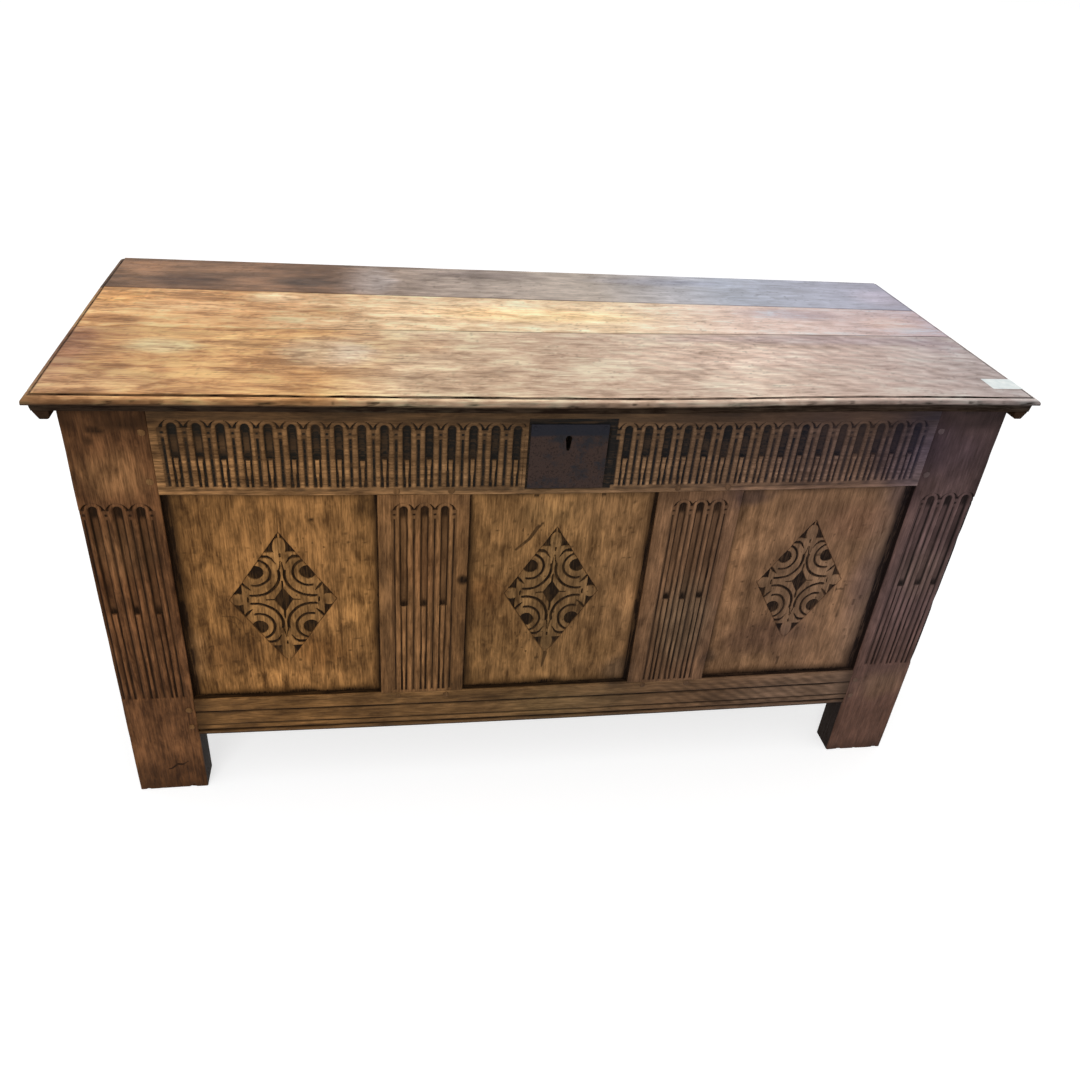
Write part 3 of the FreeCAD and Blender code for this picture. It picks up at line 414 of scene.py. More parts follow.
def oak(name, grain, middle, seed, spread=0.36, figure=1.0, mottle=1.0, roughness=0.5,
        wear_and_highlight_gain=1.4, grime_and_shade=GRIME_AND_SHADE, length=0.15, pitch=140, lively=(1.1, 0.6)):
    """Old oak with its grain along an axis, about a middle colour.

    length and pitch are of its streaks, lively how strong its figure is on the left and right.
    """
    look = new_look(name)
    middle = srgb(*middle)
    shift = (0.37 * seed, 0.83 * seed, 0.59 * seed)

    def stretched(share):
        return look.stretched(tuple(share if axis == grain else 1.0 for axis in "xyz"), shift)

    streaks = look.noise(stretched(length), pitch, 4, 0.65, 0.5)
    fibres = look.noise(stretched(0.07), 420, 3, 0.65)
    mottled = look.noise(stretched(0.45), 52, 3, 0.65, 0.6)
    clouds = look.noise(stretched(1.0), 8, 3, 0.6)
    rings = look.add("ShaderNodeTexWave", {"Vector": stretched(0.06), "Scale": 20.0,
                                           "Distortion": 9.0, "Detail": 3.0, "Detail Scale": 0.9},
                     wave_type="BANDS", bands_direction="DIAGONAL").outputs["Fac"]
    value, total = 0.0, 0.0
    for part, weight in ((streaks, 0.34), (fibres, 0.46), (mottled, 0.34 * mottle),
                         (clouds, 0.3 * mottle), (rings, 0.14 * figure)):
        value = look.times_plus(part, weight, value)
        total += weight
    dark = [c * (1 - spread) ** 2.1 for c in middle[:3]]
    dark = (dark[0], dark[1] * 0.93, dark[2] * 0.86, 1)
    light = (*[min(1.0, c * (1 + spread) ** 2.0) for c in middle[:3]], 1)
    strength = look.steps(look.along("x"), -0.4, 0.4, *lively)
    value = look.times(look.math("SUBTRACT", value, total * 0.5), strength)
    colour = look.ramp(look.steps(value, -0.42, 0.42), ((0.0, dark), (0.5, middle), (1.0, light)))
    pores = look.noise(stretched(0.05), 760, 2, 0.5, 0.0, 0.57, 0.7)
    flecks = look.noise(stretched(0.5), 120, 2, 0.5, 0.4, 0.6, 0.7)
    for marks, share, shade in ((pores, 0.5, dark), (flecks, 0.2 * figure, light)):
        colour = look.mix(look.times(look.times(marks, share), strength), colour, shade)

    # The aging_and_shading layer: grime together with painted shade in gaps, recesses and under
    # the lid, wear together with painted highlights, and tone, whose 0 paints black shade.
    darkening, wear_and_highlight, tone = look.add("ShaderNodeSeparateColor", {0: look.layer("aging_and_shading")}).outputs
    level = look.times_plus(tone, 1.6, 0.2)
    grey = look.add("ShaderNodeCombineColor", {0: level, 1: level, 2: level}).outputs[0]
    colour = look.mix(1.0, colour, grey, "MULTIPLY")
    bright = look.mix(1.0, colour, (wear_and_highlight_gain, wear_and_highlight_gain, wear_and_highlight_gain * 0.97, 1), "MULTIPLY")
    ragged = look.times_plus(mottled, 0.5, look.times_plus(fibres, 0.7, -0.6))
    worn = look.times_plus(ragged, wear_and_highlight, wear_and_highlight, clamp=True)
    grime_and_shade_share = look.times_plus(look.times(darkening, 0.8), ragged, darkening, clamp=True)
    colour = look.mix(grime_and_shade_share, look.mix(worn, colour, bright), srgb(*grime_and_shade))
    colour = look.mix(1.0, colour, look.layer("tint"), "MULTIPLY")

    shine = look.times_plus(fibres, 0.16, look.times_plus(darkening, 0.2, roughness - 0.08))
    height = look.math("SUBTRACT", look.times_plus(mottled, 0.4, fibres), pores)
    look.set(Base_Color=colour, Roughness=shine, Normal=look.bump(height, 0.4, 0.0006),
             Specular_IOR_Level=0.06)
    return look.owner


def iron(name, cold, rust, rust_share, roughness=0.55, shaded_above=None):
    """Old iron, blue black where it is clean and brown where it has rusted.

    shaded_above is the height, in metres, above which the iron is painted darker and bluer:
    painted shade of the lid's overhang on the plate's top.
    """
    look = new_look(name)
    patches = look.noise(look.places, 38, 5, 0.65)
    pits = look.noise(look.places, 420, 3, 0.6)
    amount = look.steps(look.times_plus(pits, 0.3, patches), 0.9 - rust_share, 1.3 - rust_share)
    colour = look.mix(amount, srgb(*cold), srgb(*rust))
    colour = look.mix(look.steps(pits, 0.6, 1.0, 0.0, 0.7), colour, srgb(18, 14, 12))
    # painted shade on the plate's top, under the lid's overhang
    if shaded_above is not None:
        height = look.times_plus(patches, 0.003, look.along("z"))
        top = look.steps(height, shaded_above, shaded_above + 0.003, 0.0, 0.9)
        colour = look.mix(top, colour, srgb(28, 30, 38))
    look.set(Base_Color=colour, Roughness=look.times_plus(pits, 0.2, roughness - 0.1),
             Normal=look.bump(pits, 0.5, 0.0004), Metallic=0.2, Specular_IOR_Level=0.12)
    return look.owner


PLAIN_OAK = (96, 67, 44)
ON_LID = dict(mottle=1.3, length=0.22, pitch=84, lively=(1.3, 0.62), roughness=0.45,
              wear_and_highlight_gain=1.3)
# Each kind of oak: its name and slot in the record, its grain, its middle colour, its options.
OAKS = (
    ("oak_stile", "oak_carved_frame", "z", (97, 64, 39), dict(mottle=1.3)),
    ("oak_muntin", "oak_carved_frame", "z", (115, 80, 48), dict(mottle=1.2)),
    # The frieze's near-black grime colour also paints the shade in the lock plate's recess.
    ("oak_frieze", "oak_carved_frame", "x", (99, 71, 44),
     dict(wear_and_highlight_gain=1.9, grime_and_shade=(31, 27, 22))),
    ("oak_bottom_rail", "oak_carved_frame", "x", (111, 79, 46), {}),
    ("oak_carved_panel", "oak_carved_panel", "z", (131, 92, 52),
     dict(spread=0.38, figure=1.3, mottle=1.5)),
    ("oak_plain_rail", "oak_frame", "x", PLAIN_OAK, {}),
    ("oak_end_rail", "oak_frame", "y", PLAIN_OAK, {}),
    ("oak_plain_upright", "oak_frame", "z", PLAIN_OAK, {}),
    ("oak_plain_panel", "oak_panel", "z", (116, 81, 50), dict(spread=0.3, figure=1.2)),
    ("oak_inside", "oak_inside", "y", (137, 106, 77), dict(spread=0.25, roughness=0.7)),
    ("oak_till", "oak_inside", "y", (132, 101, 72), dict(spread=0.25, roughness=0.7)),
    # The lid's pale middle colours hold the boards' own colour and a painted sheen of light on the
    # top.
    ("oak_lid_front", "oak_lid", "x", (226, 198, 172), dict(ON_LID, spread=0.27, figure=1.2)),
    ("oak_lid_middle", "oak_lid", "x", (248, 216, 178), dict(ON_LID, spread=0.27)),
    ("oak_lid_back", "oak_lid", "x", (197, 183, 170),
     dict(ON_LID, spread=0.26, mottle=1.4, length=0.2, lively=(0.95, 0.45), roughness=0.42)),
    # the cleats' dark colour is partly painted shade under the lid
    ("oak_cleat", "oak_lid", "y", (64, 43, 29), {}),
    ("oak_peg", "oak_pegs", "z", (103, 73, 44), {}))

MATERIALS = {
    "plate_iron": iron("plate_iron", (36, 34, 37), (57, 43, 38), 0.64, shaded_above=0.5805),
    "wrought_iron": iron("wrought_iron", (44, 40, 40), (60, 44, 36), 0.6)}
SLOTS = {name: name for name in MATERIALS}
for seed, (name, slot, grain, middle, options) in enumerate(OAKS, 1):
    MATERIALS[name] = oak(name, grain, middle, seed, **options)
    SLOTS[name] = slot


# Stains and faded places of the front: x, z, half width, half height, red, green, blue.
FRONT_STAINS = (
    (-541, 532, 60, 50, 1.40, 1.55, 1.55), (-540, 430, 50, 60, 1.30, 1.40, 1.45),
    (-530, 25, 75, 60, 0.60, 0.58, 0.56), (-437, 250, 60, 50, 0.62, 0.60, 0.60),
    (-318, 246, 62, 45, 0.74, 0.70, 0.66), (-428, 337, 30, 30, 0.75, 0.74, 0.76),
    (-256, 335, 40, 110, 1.40, 1.40, 1.35), (-360, 430, 130, 40, 1.12, 1.12, 1.12),
    (-340, 138, 110, 50, 1.15, 1.15, 1.12), (-176, 390, 30, 90, 1.25, 1.20, 1.20),
    (-128, 300, 18, 240, 0.72, 0.71, 0.68), (-93, 343, 40, 40, 0.84, 0.78, 0.74),
    (-13, 472, 60, 28, 0.80, 0.82, 0.83), (95, 425, 60, 45, 1.30, 1.30, 1.30),
    (112, 337, 40, 60, 1.35, 1.33, 1.30), (75, 235, 50, 40, 1.20, 1.20, 1.15),
    (40, 138, 150, 50, 1.10, 1.18, 1.20), (195, 285, 60, 110, 1.15, 1.32, 1.42),
    (318, 245, 75, 48, 0.70, 0.68, 0.74), (258, 350, 30, 120, 1.45, 1.42, 1.40),
    (256, 494, 60, 24, 0.45, 0.47, 0.62), (335, 190, 70, 22, 1.28, 1.30, 1.25),
    (429, 448, 70, 45, 1.25, 1.20, 1.25), (462, 340, 32, 80, 0.66, 0.66, 0.76),
    (400, 138, 150, 50, 1.20, 1.28, 1.35), (330, 570, 90, 80, 0.85, 0.88, 1.00),
    (455, 565, 75, 95, 0.52, 0.56, 0.80), (550, 145, 60, 40, 1.30, 1.40, 1.20),
    (280, 430, 50, 50, 1.32, 1.32, 1.32), (545, 360, 60, 60, 1.28, 1.34, 1.22),
    (530, 560, 70, 60, 0.86, 0.87, 0.99), (-112, 190, 34, 26, 0.55, 0.55, 0.55),
    (112, 192, 30, 40, 0.52, 0.56, 0.66), (480, 485, 26, 40, 0.70, 0.70, 0.80),
    (250, 212, 22, 28, 0.60, 0.62, 0.68), (378, 254, 40, 32, 0.76, 0.76, 0.82),
    (-225, 300, 16, 240, 0.80, 0.82, 0.85), (-583, 400, 16, 140, 0.70, 0.65, 0.60),
    # The last stain, at (-481, 245), is painted light: it lifts the left panel's edge out of the
    # left stile's shadow.
    (583, 450, 16, 170, 0.65, 0.65, 0.65), (-481, 245, 20, 62, 1.75, 1.85, 2.10))


def front_tint(x, y, z):
    """The front's drift from golden brown on the left to a cooler, darker brown: a painted cool
    cast of light on the right, with stains and faded places laid over it.
    """
    colour = drift(x, (-360, 1, 1, 1), (0, 0.88, 0.97, 1.15), (360, 0.80, 0.91, 1.55),
                   (550, 0.92, 1.08, 1.9))
    # painted cool light on the front's upper right
    cool = ease(430, 520, x) * ease(60, 360, z)
    colour = colour * (1 + cool[:, None] * np.array([0.06, 0.27, 0.75]))
    wander = 9 * rough(x / 26, z / 26 / 1.5, 191, 3)
    colour = stained(colour, x, z, FRONT_STAINS, wander, 1.5)
    return colour + ease(FRONT_Y + 14, FRONT_Y + 30, y)[:, None] * (1 - colour)


# ---- carving ------------------------------------------------------------------------------
GOUGE = 5.3                   # half width of a flute's gouge
REED = 9.8                    # outer radius of the reed round a flute's head


def groove(distance, half, depth):
    """A rounded groove: depth at the middle, nothing at half its width and beyond."""
    return depth * np.clip(1 - (distance / half) ** 2, 0, 1)


def flutes(x, z, centres, top, deep, foot, seed, sharp=0.0):
    """Depth of a row of round-headed flutes with reeds between, cut from top down to foot.

    Above deep a flute is one hollow gouge, below it a tapered tongue stands in the gouge. sharp
    makes the cuts wider and deeper.
    """
    draw = np.random.RandomState(seed)
    centres = np.array(centres)
    pitch = np.mean(np.diff(centres))
    arch = top - GOUGE
    above = z - arch
    depth = np.zeros_like(x)
    nearest = np.full_like(x, 99.0)
    body = ease(foot - 1.2, foot + 0.6, z)
    for centre in centres:
        centre = centre + draw.uniform(-0.35, 0.35)
        end = deep + draw.uniform(-1.2, 1.2)
        across = x - centre + 0.35 * rough(z / 30, centre, seed, 2)
        out = np.where(above > 0, np.hypot(across, above), np.abs(across))
        nearest = np.minimum(nearest, out)
        inside = (out < pitch * 0.6) & (z > foot - 3)
        hollow = 4.2 * np.sqrt(np.clip(1 - (out / GOUGE) ** 2, 0, 1))
        tongue = 2.5 - 1.5 * np.clip((end - z) / (end - foot), 0, 1)
        beside = np.minimum(np.abs(across) - tongue, GOUGE - np.abs(across))
        flank = (1.7 + sharp) * ease(0, 1.0 - 0.4 * sharp, beside)
        blend = ease(end - 0.8, end + 0.8, z)
        wide = np.where(above > 0, REED, pitch / 2 - 1.7)
        middle, half = (GOUGE + wide) / 2, (wide - GOUGE) / 2
        crown = 0.9 * np.clip((out - middle) / half, -1, 1) ** 2 * (out > GOUGE)
        fading = 1 - ease(REED, REED + 2.0, out) * ease(-1, 1, above)
        cut = np.maximum(hollow * blend + flank * (1 - blend), crown * fading)
        depth = np.where(inside, np.maximum(depth, cut * body), depth)

    gap = nearest - REED + 0.2
    arm = 3.9 - 0.36 * np.clip(above, 0, 9)
    wedge = ease(0, 0.6, gap) * (1 - ease(arm - 0.5, arm + 0.4, gap))
    within = (x > centres[0] - pitch / 2 - 6) & (x < centres[-1] + pitch / 2 + 6)
    depth = np.maximum(depth, 2.4 * wedge * between(above, -0.5, 8.2, 1.2) * within)
    for seam in (centres[0] - 11.6, *(centres[1:] + centres[:-1]) / 2, centres[-1] + 11.6):
        seam = seam + draw.uniform(-0.3, 0.3)
        off = np.abs(x - seam + 0.3 * rough(z / 26, seam, seed + 5, 2))
        dash = groove(off, 3.2, 1.7) * between(z, arch - 8.6, arch - 6.0, 0.8)
        slot = groove(off, 2.1 + 0.8 * sharp, 1.6 + 0.8 * sharp)
        slot = slot * between(z, foot + 1.5, arch - 14.2, 1.5)
        depth = np.maximum(depth, np.maximum(dash, slot))
    return depth


def lozenge(x, z, centre_x, centre_z, half, rise, fall, seed):
    """Depth of the chip-carved lozenge: four curled leaves round a dark diamond, buds between."""
    dx = x - centre_x + 0.7 * rough(x / 16, z / 16, seed, 2)
    dz = z - centre_z + 0.7 * rough(x / 16 + 40, z / 16, seed, 2)
    a, b = np.abs(dx) * 69 / half, np.where(dz > 0, dz * 107 / rise, -dz * 107 / fall)
    edge = (1 - a / 69 - b / 107) / math.hypot(1 / 69, 1 / 107)
    hollow = np.hypot(a - 33.5, b - 44.5)
    inner = np.hypot(a - 34, (b - 43.5) * 0.97)
    outer = np.hypot(a - 37.5, b - 40.5)
    line = groove(outer - 34.2, 2.4, 2.6) * ease(50, 45, b) * (1 - ease(40, 46, a))
    chips = np.maximum.reduce([
        stroke(a, b, (3.3, 46, 0.9), (1.6, 54, 0.7), (0.8, 62, 0.3)),
        stroke(a, b, (25, 69.5, 2.5), (16.5, 69.2, 2.3), (11.5, 66, 1.5), (6.5, 58, 0.4)),
        stroke(a, b, (50.5, 26, 1.8), (46, 20.5, 1.9), (41, 15.5, 0.5)),
        stroke(a, b, (0, 73, 1.3), (0, 69, 1.1)), stroke(a, b, (0, 17, 1.5), (0, 30, 1.0)),
        stroke(a, b, (45.6, 0, 1.1), (45.6, 3.5, 0.8)), stroke(a, b, (12, 0, 0.9), (22, 0, 0.7)),
        (1 - (a / 12.6) ** 0.97 - (b / 20.5) ** 0.97) * 8,
        np.minimum(a - 1.2 - 7.2 * np.sqrt(np.clip(1 - ((b - 84) / 14) ** 2, 0, 1)), b - 76),
        np.minimum(a - 52, b - 9 * np.sqrt(np.clip(1 - ((a - 58) / 11) ** 2, 0, 1)))])
    depth = np.maximum.reduce([
        2.4 * (1 - ease(9.9, 11.0, hollow)),
        groove(inner - 19.8, 2.3, 2.2) * (1 - ease(37, 42, a) * (b < 44)), line * (a < 46),
        2.1 * ease(-0.4, 0.6, chips), groove(edge, 1.2, 1.3)])
    worn = 1 - 0.6 * ease(0.55, 0.95, -dz / fall)
    return depth * ease(-0.6, 0.3, edge) * worn


# ---- boards -------------------------------------------------------------------------------
def front_place(u, v, w):
    return u, FRONT_Y + w, v


def back_place(u, v, w):
    return -u, BACK_Y - w, v


def end_place(side):
    """Faces of an end frame: u runs from the frame's left as seen from outside."""
    return lambda u, v, w: (side * (HALF_WIDTH - w), END_CENTRE + side * u, v)


def flat_place(top):
    """A board that lies flat: u runs along x, v along y."""
    return lambda u, v, w: (u, v, top - w)


def in_grooves(place):
    """A panel's place: set back from its frame's face."""
    return lambda u, v, w: place(u, v, w + GROOVE_FRONT)


def plain_paint(us, vs, seed, darkening=0.10, reach=14.0):
    """Aging of a plain board: grimy borders, handled arrises, cloudy tone."""
    def paint(u, v, w, face):
        near = edge_nearness(u, v, us, vs, reach)
        cloud = noise(u / 60, v / 60, seed)
        grime_and_shade = darkening * cloud + 0.45 * near ** 2 * noise(u / 35, v / 35, seed + 1)
        wear_and_highlight = 0.5 * edge_nearness(u, v, us, vs, 4) * noise(u / 18, v / 18, seed + 2)
        return np.where(face, grime_and_shade, 0.45), wear_and_highlight, 0.5 + 0.12 * (cloud - 0.5)
    return paint


def ring_stages(thickness, left=0.0, right=0.0, low=0.0, high=0.0, chamfer=0.8):
    """Rings of a board's edges: a panel groove in each edge given its depth, then the back."""
    grooves = (left, right, low, high)
    flush = (0, 0, 0, 0)
    stages = [(4.0, *flush)]
    if any(grooves):
        stages += [(GROOVE_FRONT, *flush), (GROOVE_FRONT, *grooves), (GROOVE_BACK, *grooves),
                   (GROOVE_BACK, *flush)]
    return stages + [(thickness - chamfer, *flush), (thickness,) + (chamfer,) * 4]


# Rings of a panel: thin in the groove, bevelled up to its thick middle on the back.
PANEL_STAGES = [(3.0, 0, 0, 0, 0), (8.0, 0, 0, 0, 0), (8.0,) + (GROOVE_DEPTH,) * 4,
                (13.8,) + (GROOVE_DEPTH + 45.0,) * 4]


def uneven(u, v, seed, amount, grain):
    """Hand-planed surface: long hollows along the grain."""
    along, across = (u, v) if grain == "u" else (v, u)
    return amount * (1 + rough(along / 170, across / 28, seed, 3)) / 2


def put(piece, body, material, *replaced):
    """A piece rides on its body; the material argument is not used."""
    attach(piece, body)
    if replaced:
        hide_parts(*replaced)


def wood(name, us, vs, depth, stages, place, paint, material, tint=None, sag=settle,
         body="carcase"):
    """A board in place of the CAD node of the same name."""
    made = board(name + "_wood", us, vs, depth, stages, place, paint, material, tint, sag)
    put(made, body, material, name)


def plain_board(name, u0, u1, v0, v1, thickness, place, material, seed, grain, radius=1.8,
                grooves=(0, 0, 0, 0), set_in=0.0, step=9.0):
    us, vs = arris_lines(u0, u1, step, radius * 1.5), arris_lines(v0, v1, step, radius * 1.5)

    def depth(u, v):
        return set_in + uneven(u, v, seed, 0.7, grain) + arris(u, v, us, vs, radius, seed)

    wood(name, us, vs, depth, ring_stages(thickness, *grooves), place, plain_paint(us, vs, seed),
         material)


def plain_panel(name, left, right, place, seed):
    us, vs = arris_lines(left, right, 9.0, 1.0), arris_lines(PANEL_LOW, PANEL_HIGH, 9.0, 1.0)
    wood(name, us, vs, lambda u, v: uneven(u, v, seed, 1.0, "v"), PANEL_STAGES,
         in_grooves(place), plain_paint(us, vs, seed, 0.12, 34.0), "oak_plain_panel")


# ---- the carved front ---------------------------------------------------------------------
FLUTE_TOP = 490.0             # on the stiles and muntins
FRIEZE_TOP, FRIEZE_DEEP, FRIEZE_FOOT = 602.9, 556.4, 518.0


def hollow_grime(depth, start=0.45, full=1.7):
    return ease(start, full, depth)


def gouge_grime(cut, v, top, deep, bare):
    """Grime of flutes: rubbed out of the middle of a gouge, but left at its top and bottom."""
    corners = np.maximum(ease(top - 22, top - 13, v), 1 - ease(deep + 3, deep + 14, v))
    return 0.97 * hollow_grime(cut) * (1 - bare * ease(2.9, 3.7, cut) * (1 - corners))


def behind(w):
    """Painted shade behind a face: black next to the panels, where the gaps lie in shade; plain on
    the inner side.
    """
    return np.where(w < 20, 0.9, 0.35)


def fluted(us, vs, centres, deep, foot, seed, bare, darkening, rub):
    """The carving of a stile or a muntin, and a function for its grime and wear.

    darkening and rub are the grime and wear of its borders, each as strength and reach.
    """
    def carving(u, v):
        return flutes(u, v, centres, FLUTE_TOP, deep, foot, seed)

    def aging_and_shading(u, v):
        cut, n = carving(u, v), noises(u, v, seed)
        grime_and_shade = gouge_grime(cut, v, FLUTE_TOP, deep, bare + 0.4 * n(12, 40, 6))
        grime_and_shade = grime_and_shade + darkening[0] * edge_nearness(u, v, us, vs, darkening[1]) * n(30, 30)
        crest = (1 - ease(0.1, 0.7, cut)) * between(v, foot, FLUTE_TOP - 1, 5)
        wear_and_highlight = 0.55 * crest * (0.3 + 0.7 * n(14, 40, 1))
        return grime_and_shade, wear_and_highlight + rub[0] * edge_nearness(u, v, us, vs, rub[1]) * n(9, 14, 2)

    return carving, aging_and_shading


def front_stile(name, x0, centres, deep, foot, seed):
    us = arris_lines(x0, x0 + STILE_WIDTH, 1.0, 3.0)
    vs = arris_lines(AIR, CARCASE_TOP - AIR, 4.0, 3.0, (foot - 4, 498, 1.0), (34, 60, 1.0))
    carving, aging_and_shading = fluted(us, vs, centres, deep, foot, seed, 0.45, (0.4, 12), (0.6, 3.5))
    inner = 1 if x0 < 0 else -1

    def depth(u, v):
        chips = 3.0 * ease(0.62, 0.9, noise(u / 9, v / 9, seed + 4)) * (1 - ease(0, 14, v))
        planed = uneven(u, v, seed, 0.8, "v") + arris(u, v, us, vs, 2.2, seed)
        return planed + carving(u, v) + chips

    def paint(u, v, w, face):
        n = noises(u, v, seed)
        grime_and_shade, wear_and_highlight = aging_and_shading(u, v)
        crack = stroke(u, v + 3 * rough(u / 7, 0 * u, seed, 2), (-541, 38, 0.6), (-527, 47, 2.0),
                       (-512, 53, 0.6))
        grime_and_shade = np.maximum.reduce([
            grime_and_shade, 0.6 * (1 - ease(2, 26, v)) * (0.5 + 0.5 * n(12, 12)),
            between(v, 600, 622, 16) * (0.25 + 0.6 * n(25, 12, 3)),
            0.85 * blob(u + 4 * rough(u / 6, v / 6, 27), v, -550, 592, 17, 8),
            0.7 * blob(u, v, -558, 578, 9, 8), 0.85 * ease(-0.6, 0.4, crack)])
        tone = 0.5 + 0.16 * rough(u / 45, v / 110, seed, 2) + 0.08 * ease(190, 120, v)
        tone = tone + 0.11 * blob(u, v, -535, 540, 50, 50) - 0.1 * ease(555, 600, v)
        tone = tone - 0.13 * ease(470, 520, v) * (x0 > 0)
        # The stile's inner side, facing the other foot, is painted black: painted shade.
        within = (u - x0 - STILE_WIDTH / 2) * inner > 40
        return (np.where(face, grime_and_shade, np.where(within, 1.0, 0.35)), wear_and_highlight,
                np.where(face, tone, np.where(within, 0.0, 0.5)))

    wood(name, us, vs, depth, ring_stages(STILE_DEPTH), front_place, paint, "oak_stile",
         front_tint)


def front_muntin(name, x, centres, deep, foot, seed):
    us = arris_lines(x - MUNTIN_HALF, x + MUNTIN_HALF, 1.0, 2.4)
    vs = arris_lines(RAIL_TOP, TOP_RAIL_LOW, 1.1, 1.5)
    carving, aging_and_shading = fluted(us, vs, centres, deep, foot, seed, 0.5, (0.35, 10), (0.5, 3))

    def depth(u, v):
        return (uneven(u, v, seed, 0.7, "v") + carving(u, v)
                + arris(u, v, us, vs, 1.8, seed, "lr") + arris(u, v, us, vs, 0.6, seed, "bt"))

    def paint(u, v, w, face):
        grime_and_shade, wear_and_highlight = aging_and_shading(u, v)
        grime_and_shade = np.maximum(grime_and_shade, 0.95 * blob(u, v, -124, 373, 13, 12))
        tone = 0.5 + 0.13 * rough(u / 45, v / 110, seed, 2)
        tone = tone - 0.06 * ease(470, 500, v) - 0.07 * ease(205, 180, v)
        return np.where(face, grime_and_shade, behind(w)), wear_and_highlight, tone

    wood(name, us, vs, depth, ring_stages(FRONT_RAIL, GROOVE_DEPTH, GROOVE_DEPTH), front_place,
         paint, "oak_muntin", front_tint)


def front_top_rail():
    """The deep rail with its frieze of flutes, let in for the lock plate and bored for the key."""
    us = arris_lines(-OPENING, OPENING, 1.0, 1.2)
    vs = arris_lines(TOP_RAIL_LOW, CARCASE_TOP - AIR, 1.0, 2.4)
    left = [-465.5 + 26.75 * k for k in range(16)]
    right = [75 + 26.03 * k for k in range(16)]

    def carving(u, v):
        on_left, on_right, half_lost = [
            flutes(u, v, centres, FRIEZE_TOP, deep, FRIEZE_FOOT, seed, 0.6)
            for centres, deep, seed in ((left, FRIEZE_DEEP, 31), (right, 557.5, 32),
                                        ([49.0, 75.0], FRIEZE_DEEP, 33))]
        cut = np.where(u < 0, on_left, on_right) * ~((u < 62) & (u > -54))
        half_lost = half_lost * (u < 62) * (u > 50)
        return np.maximum(cut, half_lost) * (1 - between(u, -52.5, 50.5, 0.5))

    def recess(u, v):
        return between(u, -50, 60, 0.3) * between(v, 514.5, 612.5, 0.3)

    def depth(u, v):
        fall = uneven(u, v, 30, 0.6, "u") + arris(u, v, us, vs, 1.8, 30, "bt")
        fall = np.maximum(fall + carving(u, v), 1.7 * recess(u, v))
        keyway = (np.hypot(u, v - 586) < 7.5) | ((np.abs(u) < 5) & (v > 569) & (v < 586))
        return np.where(keyway, 29.0, fall)

    def paint(u, v, w, face):
        cut, n = carving(u, v), noises(u, v, 30)
        bare = 0.12 + 0.35 * ease(-250, -400, u)
        flute = gouge_grime(cut, v, FRIEZE_TOP, FRIEZE_DEEP, bare)
        # The lock plate's recess is painted near-black: painted shade in the recess round the
        # plate.
        grime_and_shade = np.maximum.reduce([
            flute * (1 - 0.3 * ease(150, 450, u)), 0.95 * recess(u, v),
            # a dark band under the lid's overhang: grime and painted shade
            between(v, 609, 622, 5) * (0.1 + 0.6 * n(55, 8, 6)) * 0.85,
            0.5 * between(v, 513.5, 517, 1.2) * noise(u / 9, 1, 39)])
        # the reeds and tongues made lighter: wear and painted highlight
        crest = (1 - ease(0.1, 0.7, cut)) * between(v, 519, 595, 8) * (0.55 + 0.45 * (v < 557))
        wear_and_highlight = 0.8 * crest * (0.25 + 0.75 * n(12, 30, 7))
        wear_and_highlight += 0.9 * (1 - ease(3, 8, v - TOP_RAIL_LOW)) * (0.4 + 0.6 * n(22, 9, 8))
        # darker towards the top, under the lid: grime and painted shade
        tone = 0.5 + 0.10 * rough(u / 80, v / 40, 34, 2) + 0.10 * ease(600, 520, v)
        tone -= 0.12 * ease(420, 485, np.abs(u)) * ease(560, 600, v)
        return np.where(face, grime_and_shade, np.where(v > 615, 0.35, behind(w))), wear_and_highlight, tone

    wood("front_top_rail", us, vs, depth, ring_stages(FRONT_RAIL, low=GROOVE_DEPTH), front_place,
         paint, "oak_frieze", front_tint)


def front_bottom_rail():
    """The bottom rail with a run groove and a bead above its lower edge."""
    us = arris_lines(-OPENING, OPENING, 3.0, 1.0)
    vs = arris_lines(RAIL_LOW, RAIL_TOP, 0.9, 3.0)

    def profile(u, v):
        v = v + 0.5 * rough(u / 120, 0 * u, 41, 2)
        bead = 6.1 - np.sqrt(np.clip(6.1 ** 2 - (v - 119) ** 2, 0, None))
        return np.maximum.reduce([groove(v - 148.5, 2.8, 2.2),
                                  np.minimum(bead, 2.6) * between(v, 112.4, 125.6, 0.4),
                                  3.0 * np.clip((112 - v) / 9, 0, 1) ** 1.5])

    def depth(u, v):
        chatter = 0.35 * ease(0.55, 0.8, noise(u / 5 + v / 9, v / 60, 42))
        return (profile(u, v) + chatter * between(u, 250, 450, 30) + uneven(u, v, 40, 0.6, "u")
                + arris(u, v, us, vs, 2.2, 40, "bt"))

    def paint(u, v, w, face):
        n = noises(u, v, 40)
        grime_and_shade = 0.9 * hollow_grime(profile(u, v), 0.8, 2.2) + 0.3 * n(50, 12, 3) ** 2
        grime_and_shade = np.maximum(grime_and_shade, 0.6 * ease(460, 491, np.abs(u)))
        # the top edge made lighter where light falls on it from above: painted highlight with wear
        wear_and_highlight = 0.8 * ease(163, 170, v) * (0.35 + 0.65 * n(30, 8, 4))
        wear_and_highlight += 0.35 * between(v, 115, 122, 2) * n(30, 8, 5)
        waves = np.sin((u + 1.6 * v + 6 * rough(u / 40, v / 30, 47, 2)) / 3.6)
        waves = waves * between(u, 210, 440, 50) * between(v, 122, 165, 6)
        return (np.where(face, grime_and_shade, behind(w)), wear_and_highlight,
                0.5 + 0.13 * rough(u / 70, v / 30, 46, 2) + 0.13 * waves)

    wood("front_bottom_rail", us, vs, depth, ring_stages(FRONT_RAIL, high=GROOVE_DEPTH),
         front_place, paint, "oak_bottom_rail", front_tint)


